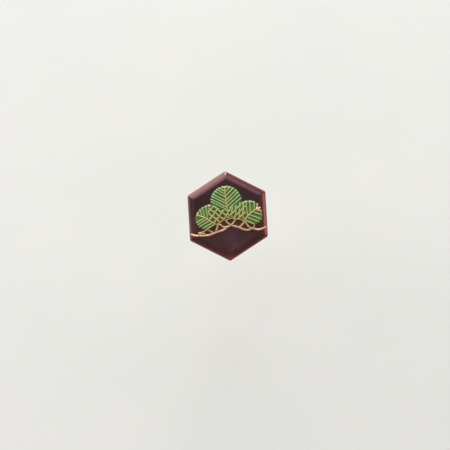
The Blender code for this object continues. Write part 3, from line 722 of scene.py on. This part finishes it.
def make_solder(material):
    """A concave ring of solder, a little uneven."""
    low, high, outer = node_size("solder_fillet")
    inner = SOLDER_BORE
    profile = [(inner, high.z), (inner, low.z), (inner + 0.06 * MM, low.z + 0.08 * MM),
               (inner + 0.13 * MM, low.z + 0.2 * MM), (inner + 0.26 * MM, high.z - 0.1 * MM),
               (outer - 0.02 * MM, high.z - 0.045 * MM), (outer, high.z - 0.02 * MM), (outer, high.z)]

    def uneven(angle, r, z):
        share = (high.z - z) / (high.z - low.z)
        spot = Vector((2 * math.cos(angle), 2 * math.sin(angle), 3 * z / MM))
        return r + 0.03 * MM * noise.noise(spot) * share

    add_piece("solder_ring", *turned(fillet(profile, 0.03 * MM), shape=uneven), material, "tack",
              "solder_fillet", "solder")


# ---------------------------------------------------------------- clutch


def make_eyelet(material):
    """The tube that the post goes through, with a lip in front and a flare behind."""
    low, high, lip = node_size("needle_eyelet")
    lip_back = high.z - EYELET_RIM
    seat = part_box("clutch_cover")[1].z
    flare, flare_rear = EYELET_FLARE
    profile = [(EYELET_BORE, high.z, 0.16 * MM), (lip, high.z, 0.08 * MM), (lip, lip_back, 0.04 * MM),
               (EYELET_NECK, lip_back), (EYELET_NECK, seat), (flare, seat), (flare_rear, low.z, 0.08 * MM),
               (EYELET_BORE, low.z)]
    add_piece("eyelet", *turned(fillet(profile, 0.04 * MM)), material, "eyelet", "needle_eyelet",
              "gilt_brass")


def make_flange(material):
    """The front disc: a recess for the eyelet, a shallow dish, and a rolled skirt."""
    low, high, radius = node_size("clutch_flange")
    lip = node_size("needle_eyelet")[2] + 0.04 * MM
    recess = high.z - FLANGE_RECESS
    dish = high.z - 0.06 * MM
    under = high.z - FLANGE_THICKNESS
    profile = [(FLANGE_NECK, recess), (lip, recess, 0.02 * MM), (lip, high.z, 0.05 * MM),
               (lip + 0.9 * MM, high.z, 0.3 * MM), (lip + 1.3 * MM, dish, 0.3 * MM),
               (radius - 0.9 * MM, dish, 0.2 * MM), (radius - 0.55 * MM, high.z, 0.15 * MM),
               (radius, high.z, 0.34 * MM), (radius, low.z, 0.12 * MM), (FLANGE_INNER, low.z, 0.05 * MM),
               (FLANGE_INNER, under), (FLANGE_NECK, under)]
    add_piece("front_disc", *turned(fillet(profile, 0.03 * MM)), material, "clutch", "clutch_flange",
              "gilt_brass")


def make_cover(material):
    """The drawn cup, with a rim, a step and a bead round its back hole."""
    low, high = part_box("clutch_cover")
    rim, outer, hole = COVER_RIM, COVER_RADIUS, COVER_HOLE
    inner = outer - COVER_WALL
    front, back = high.z, low.z
    floor = back + COVER_WALL
    step = back + 0.06 * MM
    profile = [(inner, front), (rim, front, 0.08 * MM), (rim, front - 0.5 * MM, 0.16 * MM),
               (outer, front - 0.62 * MM, 0.2 * MM), (outer, back + 0.9 * MM, 0.9 * MM),
               (outer - 0.62 * MM, back + 0.1 * MM, 0.4 * MM), (outer - 1.0 * MM, step, 0.2 * MM),
               (hole + 0.5 * MM, step, 0.12 * MM), (hole + 0.38 * MM, back, 0.1 * MM),
               (hole, back, 0.12 * MM), (hole, floor, 0.1 * MM), (inner - 0.5 * MM, floor, 0.4 * MM),
               (inner, back + 0.95 * MM, 0.4 * MM)]
    add_piece("cup", *turned(fillet(profile, 0.05 * MM, steps=7)), material, "clutch", "clutch_cover",
              "gilt_brass")


def make_race(material):
    """The tapered ring round the balls. It widens away from the tile."""
    low, high, outer = node_size("cone_race")
    front = RACE_RADIUS + (BALL_PLANE_Z - high.z) * RACE_SLOPE
    rear = RACE_RADIUS + (BALL_PLANE_Z - low.z) * RACE_SLOPE
    profile = [(front, high.z), (outer, high.z, 0.12 * MM), (outer, low.z, 0.12 * MM), (rear, low.z)]
    add_piece("cone_ring", *turned(fillet(profile, 0.06 * MM)), material, "clutch", "cone_race",
              "hard_steel")


def make_spring(material):
    """A coil with closed, tapered ends, riding on the clutch."""
    low, high, outer = node_size("clutch_spring")
    radius = outer - SPRING_WIRE
    per_turn = 40
    count = SPRING_TURNS * per_turn
    top, bottom = high.z - SPRING_WIRE, low.z + SPRING_WIRE
    path = []
    for k in range(count + 1):
        angle = math.tau * k / per_turn
        share = k / count
        eased = share - 0.07 * math.sin(math.tau * share)  # the end turns lie closer
        z = top + (bottom - top) * eased
        path.append(Vector((radius * math.cos(angle), radius * math.sin(angle), z)))
    coil = tube(path, SPRING_WIRE, closed=False, sides=12)
    ob = add_piece("coil_spring", *coil, material, "clutch", "clutch_spring", "spring_steel")
    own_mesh(ob)


def make_knob(material):
    """The pull knob: a stem, two knurled bands with a waist between them, and a dished end."""
    low, high, radius = node_size("pull_knob")
    front, rear = KNOB_FRONT_Z, low.z
    waist = radius - 0.5 * MM
    dish = rear + 0.12 * MM
    profile = [(0, KNOB_BORE_Z), (KNOB_BORE, KNOB_BORE_Z), (KNOB_BORE, KNOB_SEAT_Z),
               (KNOB_SEAT, KNOB_SEAT_Z), (KNOB_SEAT, high.z), (KNOB_STEM, high.z, 0.1 * MM),
               (KNOB_STEM, front, 0.12 * MM), (radius - 0.3 * MM, front, 0.15 * MM),
               (radius, front - 0.22 * MM, 0.1 * MM), (radius, front - 0.85 * MM, 0.1 * MM),
               (waist, front - 1.1 * MM, 0.15 * MM), (waist, front - 1.4 * MM, 0.15 * MM),
               (radius, front - 1.65 * MM, 0.1 * MM), (radius, rear + 0.3 * MM, 0.1 * MM),
               (radius - 0.35 * MM, rear, 0.2 * MM), (radius - 0.9 * MM, rear, 0.2 * MM),
               (radius - 1.25 * MM, dish, 0.3 * MM), (0.9 * MM, dish, 0.3 * MM),
               (0.5 * MM, rear + 0.06 * MM, 0.2 * MM), (0, rear + 0.05 * MM)]

    def knurl(angle, r, z):
        if r < radius - 0.05 * MM:
            return r
        return r - KNURL_DEPTH * (0.5 + 0.5 * math.cos(KNURL_TEETH * angle)) ** 2

    smooth = fillet(profile, 0.05 * MM, closed=False)
    shell = turned(smooth, closed=False, steps=6 * KNURL_TEETH, shape=knurl)
    add_piece("knurled_knob", *shell, material, "plunger", "pull_knob", "gilt_brass")


def make_balls(material):
    """Three balls, each on a body of its own."""
    for ball in ("ball_1", "ball_2", "ball_3"):
        low, high, radius = node_size(ball)
        angles = [math.pi * s / 24 for s in range(1, 24)]
        arc = [(radius * math.sin(a), radius * math.cos(a)) for a in angles]
        shell = turned([(0, radius), *arc, (0, -radius)], closed=False, steps=48)
        shell = place(shell, Matrix.Translation((low + high) / 2))
        add_piece(f"steel_{ball}", *shell, material, ball, ball, "hard_steel")


# ---------------------------------------------------------------- chain


def oval(width, height, steps=24):
    """A closed path in the XZ plane round the origin: two half circles and straight sides."""
    radius = width / 2
    straight = max((height - width) / 2, 0.0)
    points = []
    for start, middle in ((0, straight), (math.pi, -straight)):
        for s in range(steps + 1 if straight > 1e-6 else steps):
            angle = start + math.pi * s / steps
            points.append(Vector((radius * math.cos(angle), 0, middle + radius * math.sin(angle))))
    return points


def make_link(node, name, wire, body, material):
    """Round wire in the plane that the CAD link lies in."""
    low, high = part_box(node)
    size = high - low
    path = oval(max(size.x, size.y) - 2 * wire, size.z - 2 * wire)
    turn = Matrix.Rotation(0 if size.x > size.y else math.pi / 2, 4, "Z")
    shell = tube(path, wire, flat_normal=Vector((0, 1, 0)))
    shell = place(shell, Matrix.Translation((low + high) / 2) @ turn)
    add_piece(name, *shell, material, body, node, "gilt_brass")


def make_chain_loop(material):
    """The staple on the cup: a ring of wire with a foot shaped to the cup's wall and a fillet of braze."""
    low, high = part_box("chain_loop")
    centre_z = (low.z + high.z) / 2
    outer = (high.z - low.z) / 2
    across = 2 * (outer - RING_WIRE)
    ring = tube(oval(across, across), RING_WIRE, flat_normal=Vector((0, 1, 0)))
    turn = Matrix.Rotation(math.pi / 2, 4, "Z")
    ring = place(ring, Matrix.Translation((0, low.y + outer, centre_z)) @ turn)
    half_width, half_height, depth = STAPLE_FOOT
    steps = 32
    sections = []
    for share, grow in ((0, 1.0), (0.25, 0.86), (0.55, 0.68), (0.85, 0.58), (1.0, 0.5)):
        section = []
        for k in range(steps):
            across_foot, up_foot = math.cos(math.tau * k / steps), math.sin(math.tau * k / steps)
            x = half_width * grow * math.copysign(abs(across_foot) ** 0.75, across_foot)
            z = half_height * grow * math.copysign(abs(up_foot) ** 0.75, up_foot)
            section.append((x, -math.sqrt(STAPLE_WALL ** 2 - x ** 2) - depth * share, centre_z + z))
        sections.append(section)
    add_piece("chain_staple", *merge(ring, loft(sections)), material, "clutch", "chain_loop", "gilt_brass")


def make_chain(material):
    """The chain between two jump rings, each piece on a body of its own."""
    make_link("jump_ring_upper", "ring_upper", RING_WIRE, "upper_ring", material)
    for k in range(1, LINK_COUNT + 1):
        make_link(f"chain_link_{k}", f"link_{k}", LINK_WIRE, f"link_{k}", material)
    make_link("jump_ring_lower", "ring_lower", RING_WIRE, "lower_ring", material)


def make_bar(material):
    """The T-bar: slender between ball ends, with turned collars, and its loop."""
    low, high, half = node_size("t_bar")
    radius = BAR_RADIUS
    middle_y = (low.y + high.y) / 2
    ball = [math.radians(12 * s) for s in range(1, 11)]
    profile = [(0, -half)] + [(radius * math.sin(a), -half + radius * (1 - math.cos(a))) for a in ball]
    neck = -half + 1.55 * radius
    profile += [(0.66 * radius, neck + 0.1 * MM), (0.8 * radius, neck + 0.22 * MM),
                (0.8 * radius, neck + 0.38 * MM), (0.68 * radius, neck + 0.5 * MM),
                (0.72 * radius, neck + 1.6 * MM), (0.84 * radius, -0.75 * MM), (0.98 * radius, -0.5 * MM)]
    profile += [(r, -z) for r, z in reversed(profile)]
    smooth = [profile[0], *fillet(profile[1:-1], 0.06 * MM, closed=False), profile[-1]]
    bar = place(turned(smooth, closed=False, steps=64), Matrix.Rotation(math.pi / 2, 4, "Y"))
    bar = place(bar, Matrix.Translation((0, middle_y, low.z + radius)))
    loop_height = BAR_LOOP_WIDTH + BAR_LOOP_STRAIGHT
    ring = tube(oval(BAR_LOOP_WIDTH, loop_height), LINK_WIRE, flat_normal=Vector((0, 1, 0)))
    ring = place(ring, Matrix.Translation((0, middle_y, high.z - LINK_WIRE - loop_height / 2)))
    add_piece("toggle_bar", *merge(bar, ring), material, "bar", "t_bar", "gilt_brass")


# ---------------------------------------------------------------- materials


def linear(hex_colour):
    """A linear RGBA colour from an sRGB hex string."""
    channels = [int(hex_colour[i:i + 2], 16) / 255 for i in (0, 2, 4)]
    return (*[c / 12.92 if c <= 0.04045 else ((c + 0.055) / 1.055) ** 2.4 for c in channels], 1.0)


class Shade:
    """A Principled material under construction, with short calls that add nodes."""

    def __init__(self, name, **sockets):
        self.material = bpy.data.materials.new(name)
        self.material.use_nodes = True
        self.tree = self.material.node_tree
        self.shader = self.tree.nodes["Principled BSDF"]
        for socket, value in sockets.items():
            self.shader.inputs[socket.replace("_", " ")].default_value = value
        coordinates = self.tree.nodes.new("ShaderNodeTexCoord")
        # positions in millimetres, in the object's own frame
        self.place = self.vector("SCALE", coordinates.outputs["Object"], scale=1 / MM)

    def add(self, kind, inputs, **settings):
        made = self.tree.nodes.new(kind)
        for key, value in settings.items():
            setattr(made, key, value)
        for socket, value in inputs.items():
            self.put(made.inputs[socket], value)
        return made

    def put(self, socket, value):
        if isinstance(value, bpy.types.NodeSocket):
            self.tree.links.new(value, socket)
        else:
            socket.default_value = value

    def to_shader(self, socket, value):
        self.put(self.shader.inputs[socket], value)

    def vector(self, operation, first, second=None, scale=None):
        made = self.tree.nodes.new("ShaderNodeVectorMath")
        made.operation = operation
        self.put(made.inputs[0], first)
        if second is not None:
            self.put(made.inputs[1], second)
        if scale is not None:
            self.put(made.inputs["Scale"], scale)
        return made.outputs["Value"] if operation in ("DOT_PRODUCT", "LENGTH") else made.outputs["Vector"]

    def math(self, operation, first, second=0.0, clamp=False):
        made = self.tree.nodes.new("ShaderNodeMath")
        made.operation = operation
        made.use_clamp = clamp
        self.put(made.inputs[0], first)
        self.put(made.inputs[1], second)
        return made.outputs[0]

    def times(self, first, second):
        return self.math("MULTIPLY", first, second)

    def noise(self, scale, detail=3.0, roughness=0.5, place=None, distortion=0.0):
        made = self.add("ShaderNodeTexNoise", {
            "Vector": place if place is not None else self.place, "Scale": scale, "Detail": detail,
            "Roughness": roughness, "Distortion": distortion})
        return made.outputs["Fac"]

    def range(self, value, low, high, to_low=0.0, to_high=1.0):
        """The value eased from low..high to other limits, and clamped to them."""
        made = self.add("ShaderNodeMapRange", {
            "Value": value, "From Min": low, "From Max": high, "To Min": to_low, "To Max": to_high},
            interpolation_type="SMOOTHSTEP")
        return made.outputs["Result"]

    def jittered(self, value, scale, detail, amount, roughness=0.5):
        """The value plus noise, so that a mask's edge wanders."""
        return self.math("ADD", value, self.times(self.noise(scale, detail, roughness), amount))

    def away(self, x, y, z):
        """Distance from a place, in millimetres."""
        return self.vector("LENGTH", self.vector("SUBTRACT", self.place, (x, y, z)))

    def mix(self, factor, first, second, blend="MIX"):
        made = self.tree.nodes.new("ShaderNodeMix")
        made.data_type = "RGBA"
        made.blend_type = blend
        self.put(made.inputs["Factor"], factor)
        colours = [s for s in made.inputs if s.type == "RGBA"]
        self.put(colours[0], first)
        self.put(colours[1], second)
        return [s for s in made.outputs if s.type == "RGBA"][0]

    def over(self, colour, top, mask, strength=None):
        """The colour with a top colour, as a hex string, over it where the mask is 1."""
        return self.mix(mask if strength is None else self.times(mask, strength), colour, linear(top))

    def roughness(self, scale, smoothest, roughest):
        self.to_shader("Roughness", self.range(self.noise(scale, 3), 0.3, 0.7, smoothest, roughest))

    def bump(self, height, strength, distance):
        """Raises the surface by a height of 0 to 1 times a distance in metres, on top of earlier bumps."""
        made = self.add("ShaderNodeBump", {"Height": height, "Strength": strength, "Distance": distance})
        earlier = self.shader.inputs["Normal"].links
        if earlier:
            self.tree.links.new(earlier[0].from_socket, made.inputs["Normal"])
        self.tree.links.new(made.outputs["Normal"], self.shader.inputs["Normal"])

    def separate(self):
        made = self.add("ShaderNodeSeparateXYZ", {"Vector": self.place})
        return made.outputs["X"], made.outputs["Y"], made.outputs["Z"]


def tile_lacquer():
    """Deep brown-red lacquer under a clear gloss: darker at the top, redder below and at the sides."""
    shade = Shade("tile_lacquer", Coat_Weight=0.2, Coat_Roughness=0.1, Specular_IOR_Level=0.9,
                  Specular_Tint=(1, 0.52, 0.52, 1))
    x, y, z = shade.separate()
    face = FACE_Z / MM
    low_part = shade.range(shade.jittered(y, 0.22, 2, 4.0), 4.6, -4.0)
    colour = shade.mix(low_part, linear("281b21"), linear("331f20"))

    # a warm clouded patch low on the face
    cloud = shade.range(shade.noise(0.42, 4, 0.6, distortion=0.4), 0.4, 0.68)
    warm = shade.range(shade.away(0.5, -4.9, face), 4.0, 0.6, 0.1, 0.75)
    colour = shade.over(colour, "6a2f38", cloud, warm)

    # the bevel, by the distance in from the nearest side. The tile's own sides are darker.
    flats = [shade.math("ABSOLUTE", shade.vector("DOT_PRODUCT", shade.place, (math.cos(a), math.sin(a), 0)))
             for a in (0, math.pi / 3, 2 * math.pi / 3)]
    reach = shade.math("MAXIMUM", shade.math("MAXIMUM", flats[0], flats[1]), flats[2])
    inset = shade.math("SUBTRACT", ACROSS / 2 / MM, reach)
    front = shade.range(z, face - 1.45, face - 1.0)
    band = shade.range(shade.jittered(inset, 0.9, 3, 0.5), 1.5, 0.5)
    colour = shade.over(colour, "4a2123", band, shade.range(front, 0.0, 1.0, 0.3, 0.75))

    # clear red towards the lower left and the right
    for side, strength in ((247, 0.55), (0, 0.8)):
        direction = (math.cos(math.radians(side)), math.sin(math.radians(side)), 0)
        toward = shade.jittered(shade.vector("DOT_PRODUCT", shade.place, direction), 0.8, 3, 1.6, 0.6)
        red = shade.range(toward, 6.7, 8.2, 0.0, strength)
        colour = shade.over(colour, "6c1c20", red, shade.range(front, 0, 1, 0.4, 1))

    # brown in the branch's arches, a cool patch under them, painted shade at the left, a warm lowest corner
    arches = shade.vector("SUBTRACT", shade.place, (0.5, -1.95, face))
    arches = shade.vector("LENGTH", shade.vector("MULTIPLY", arches, (1 / 4.6, 1 / 1.15, 0)))
    colour = shade.over(colour, "442a14", shade.range(arches, 1.15, 0.75, 0.0, 0.75))
    colour = shade.over(colour, "322a38", shade.range(shade.away(0.6, -3.6, face), 3.4, 0.4, 0.0, 0.6))
    edge = shade.times(shade.range(inset, 0.34, 0.12), front)
    colour = shade.over(colour, "8a4a38", edge, 0.55)
    # painted shade: a dark patch on the face to the left of the left pad
    colour = shade.over(colour, "15110e", shade.range(shade.away(-5.9, 2.0, face), 3.2, 0.6, 0.0, 0.6))
    colour = shade.over(colour, "8e4c34", shade.range(shade.away(0.1, -8.3, face - 0.6), 1.3, 0.2, 0.0, 0.7))

    colour = shade.over(colour, "7c4034", shade.range(shade.noise(7.0, 2, 0.7), 0.66, 0.8), 0.15)
    shade.to_shader("Base Color", colour)
    shade.roughness(3.0, 0.17, 0.27)
    shade.bump(shade.noise(1.1, 2, 0.4), 0.35, 0.02 * MM)
    shade.bump(shade.noise(9.0, 2), 0.12, 0.004 * MM)
    return shade.material


def pad_lacquer():
    """Green raised lacquer, mottled, browner under the net, with a painted highlight on its rounded edges.
    """
    shade = Shade("pad_lacquer", Coat_Weight=0.6, Coat_Roughness=0.14, Specular_IOR_Level=0.4)
    mottle = shade.range(shade.noise(1.4, 4, 0.6), 0.35, 0.68)
    colour = shade.mix(mottle, linear("3b601b"), linear("567e30"))
    x, y, z = shade.separate()
    brown = shade.range(shade.jittered(y, 0.8, 2, 1.4), 2.9, 0.9)
    near_middle = shade.range(shade.math("ABSOLUTE", x), 4.0, 2.6)
    colour = shade.over(colour, "524a1c", brown, near_middle)
    # paler towards the pads' rounded edges: a painted highlight
    rim = shade.range(z, (FACE_Z + 0.75 * PAD_TOP) / MM, (FACE_Z + 0.1 * PAD_TOP) / MM)
    colour = shade.over(colour, "7d8f6a", rim, 0.5)
    colour = shade.over(colour, "93a860", shade.range(shade.noise(12.0, 2, 0.6), 0.6, 0.78), 0.3)
    shade.to_shader("Base Color", colour)
    shade.roughness(5.0, 0.3, 0.5)
    shade.bump(shade.noise(6.0, 4, 0.6), 0.5, 0.012 * MM)
    return shade.material


def needle_paint():
    """Pale green paint that turns to dusted gold where the mesh says so."""
    shade = Shade("needle_paint", Coat_Weight=0.25, Coat_Roughness=0.2)
    gilding = shade.add("ShaderNodeAttribute", {}, attribute_name="gilding").outputs["Fac"]
    patchy = shade.times(shade.math("SUBTRACT", shade.noise(2.0, 4, 0.65), 0.5), 0.5)
    gold = shade.math("ADD", gilding, patchy, clamp=True)
    colour = shade.mix(gold, linear("88aa68"), linear("bfa462"))
    colour = shade.over(colour, "c49c74", shade.range(gilding, 0.85, 1.0))
    colour = shade.over(colour, "dfd9a0", shade.range(shade.noise(28.0, 2, 0.7), 0.5, 0.75), 0.35)
    shade.to_shader("Base Color", colour)
    shade.to_shader("Metallic", shade.range(gold, 0.2, 1.0, 0.0, 0.35))
    shade.roughness(10.0, 0.34, 0.55)
    shade.bump(shade.noise(22.0, 3, 0.6), 0.5, 0.008 * MM)
    return shade.material


def branch_gold():
    """Dusted gold with a coppery cast, worn thinner in patches."""
    shade = Shade("branch_gold", Coat_Weight=0.15, Coat_Roughness=0.2)
    patches = shade.range(shade.noise(0.9, 4, 0.6), 0.38, 0.66)
    colour = shade.mix(patches, linear("b0835e"), linear("cfa982"))
    colour = shade.over(colour, "f2dcb8", shade.range(shade.noise(30.0, 2, 0.7), 0.5, 0.72), 0.3)
    colour = shade.over(colour, "7c4a34", shade.range(shade.noise(3.4, 4, 0.7), 0.66, 0.78), 0.45)
    shade.to_shader("Base Color", colour)
    shade.to_shader("Metallic", shade.range(patches, 0.0, 1.0, 0.2, 0.38))
    shade.roughness(8.0, 0.32, 0.5)
    shade.bump(shade.noise(24.0, 3, 0.6), 0.5, 0.008 * MM)
    return shade.material


def metal(name, bright, dull, roughness, lathe=0.0, tarnish=None, grain=(1, 1, 1)):
    """Metal with uneven polish, fine scratches, and lathe lines round Z where they are asked for."""
    shade = Shade(name, Metallic=1.0)
    cloud = shade.range(shade.noise(0.55, 4, 0.6), 0.35, 0.7)
    colour = shade.mix(cloud, linear(bright), linear(dull))
    if tarnish:
        stains = shade.range(shade.noise(1.3, 5, 0.7, distortion=0.6), 0.58, 0.8)
        colour = shade.over(colour, tarnish, stains, 0.45)
    scratches = shade.noise(14.0, 3, place=shade.vector("MULTIPLY", shade.place, grain))
    colour = shade.over(colour, dull, shade.range(scratches, 0.6, 0.8), 0.25)
    shade.to_shader("Base Color", colour)
    polish = shade.range(shade.noise(1.7, 4, 0.6), 0.3, 0.75, roughness, roughness + 0.16)
    shade.to_shader("Roughness", shade.math("ADD", polish, shade.times(scratches, 0.08)))
    shade.bump(scratches, 0.25, 0.004 * MM)
    if lathe:
        x, y, z = shade.separate()
        flat = shade.add("ShaderNodeCombineXYZ", {"X": x, "Y": y}).outputs["Vector"]
        radius = shade.vector("LENGTH", flat)
        line_place = shade.add("ShaderNodeCombineXYZ", {"X": radius, "Y": z}).outputs["Vector"]
        shade.bump(shade.noise(16.0, 2, 0.6, place=line_place), lathe, 0.006 * MM)
    return shade.material


def glue():
    """Set resin: yellowish, with small bubbles."""
    shade = Shade("adhesive", Specular_IOR_Level=0.5, Coat_Weight=0.4, Coat_Roughness=0.15)
    colour = shade.mix(shade.range(shade.noise(1.5, 4), 0.35, 0.7), linear("b9aa86"), linear("94815a"))
    bubbles = shade.add("ShaderNodeTexVoronoi", {"Vector": shade.place, "Scale": 5.0}).outputs["Distance"]
    colour = shade.mix(shade.range(bubbles, 0.12, 0.2), linear("d8ceb0"), colour)
    shade.to_shader("Base Color", colour)
    shade.roughness(4.0, 0.28, 0.5)
    shade.bump(shade.noise(3.0, 3), 0.5, 0.02 * MM)
    return shade.material


def solder_metal():
    """Tin-grey solder with a grainy, faintly flux-stained skin."""
    shade = Shade("solder", Metallic=1.0)
    grains = shade.add("ShaderNodeTexVoronoi", {"Vector": shade.place, "Scale": 9.0}).outputs["Distance"]
    colour = shade.mix(shade.range(grains, 0.1, 0.6), linear("c9c8c2"), linear("8f8e8a"))
    colour = shade.over(colour, "7a6440", shade.range(shade.noise(2.2, 4, 0.6), 0.55, 0.72), 0.5)
    shade.to_shader("Base Color", colour)
    shade.roughness(6.0, 0.3, 0.52)
    shade.bump(grains, 0.4, 0.01 * MM)
    shade.bump(shade.noise(4.0, 3), 0.4, 0.02 * MM)
    return shade.material


def floor_paper():
    """Pale matt studio paper with a faint tooth."""
    shade = Shade("floor_paper", Specular_IOR_Level=0.2)
    tone = shade.range(shade.noise(0.03, 3), 0.3, 0.7)
    shade.to_shader("Base Color", shade.mix(tone, linear("eceae8"), linear("e9e8e6")))
    shade.to_shader("Roughness", shade.range(shade.noise(2.0, 2), 0.3, 0.7, 0.75, 0.9))
    shade.bump(shade.noise(3.0, 3), 0.12, 0.02 * MM)
    return shade.material


# ---------------------------------------------------------------- studio


def make_floor(material):
    """A square of studio paper under the hanging tack."""
    level = cad_bounds[0].z - FLOOR_DROP
    signs = ((-1, -1), (1, -1), (1, 1), (-1, 1))
    corners = [(x * FLOOR_SIZE, y * FLOOR_SIZE, level) for x, y in signs]
    new_object("floor", corners, [(0, 1, 2, 3)], material)


def softbox(name, azimuth, elevation, distance, width, height, power, colour):
    """An area light that faces the tile's middle."""
    a, e = math.radians(azimuth), math.radians(elevation)
    toward = Vector((math.cos(a) * math.cos(e), math.sin(a) * math.cos(e), math.sin(e)))
    light = bpy.data.lights.new(name, "AREA")
    light.shape = "RECTANGLE"
    light.size, light.size_y = width, height
    light.energy = power
    light.color = colour
    ob = bpy.data.objects.new(name, light)
    ob.location = Vector((0, 0, FACE_Z)) + toward * distance
    ob.rotation_euler = toward.to_track_quat("Z", "Y").to_euler()
    bpy.context.scene.collection.objects.link(ob)


def make_studio():
    """The world's soft fill and the lights."""
    scene = bpy.context.scene
    scene.view_settings.view_transform = "Standard"
    world = bpy.data.worlds.new("studio")
    world.use_nodes = True
    background = world.node_tree.nodes["Background"]
    background.inputs["Color"].default_value = WORLD_COLOUR
    background.inputs["Strength"].default_value = WORLD_STRENGTH
    scene.world = world
    for light in LIGHTS:
        softbox(*light)


def make_camera():
    """Looks square at the tile's face, rolled a little, with the tile just above the middle of the frame."""
    camera = bpy.data.cameras.new("camera")
    camera.sensor_width = CAMERA_SENSOR
    camera.lens = CAMERA_LENS
    ob = bpy.data.objects.new("camera", camera)
    turn = Matrix.Rotation(-math.radians(CAMERA_ROLL), 4, "Z")
    offset = turn @ Vector((-TACK_RIGHT_OF_CENTRE, -TACK_ABOVE_CENTRE, 0))
    ob.matrix_world = Matrix.Translation(offset + Vector((0, 0, FACE_Z + CAMERA_DISTANCE))) @ turn
    bpy.context.scene.collection.objects.link(ob)
    bpy.context.scene.camera = ob


def main():
    """Builds every piece with its material, then the studio and the camera."""
    for pad in PADS.values():
        coarse = len(pad["outline"]) < 40
        pad["curve"] = smooth_curve(pad["outline"], closed=True, steps=5 if coarse else 2)
    brass = metal("gilt_brass", "e6cd98", "cbac70", 0.18, tarnish="a98a52")
    turned_brass = metal("turned_gilt_brass", "e8d09e", "cdb076", 0.18, lathe=0.3, tarnish="ac8e56")
    hard_steel = metal("hard_steel", "d9dadc", "a7a9ad", 0.12, lathe=0.25)
    make_tile(tile_lacquer())
    make_pads(pad_lacquer())
    paint = needle_paint()
    make_needles(paint)
    make_net(paint)
    make_branch(branch_gold())
    make_adhesive(glue())
    make_plate(brass)
    make_post(metal("post_steel", "dcdcdd", "a9aaac", 0.14, grain=(1, 1, 0.15)))
    make_solder(solder_metal())
    make_eyelet(turned_brass)
    make_flange(turned_brass)
    make_cover(turned_brass)
    make_race(hard_steel)
    make_spring(metal("spring_steel", "c4c6ca", "8d9096", 0.2))
    make_knob(turned_brass)
    make_balls(hard_steel)
    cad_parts["ball_cage"].data.materials[0] = hard_steel
    make_chain_loop(brass)
    make_chain(brass)
    make_bar(brass)
    make_floor(floor_paper())
    make_studio()
    make_camera()


main()
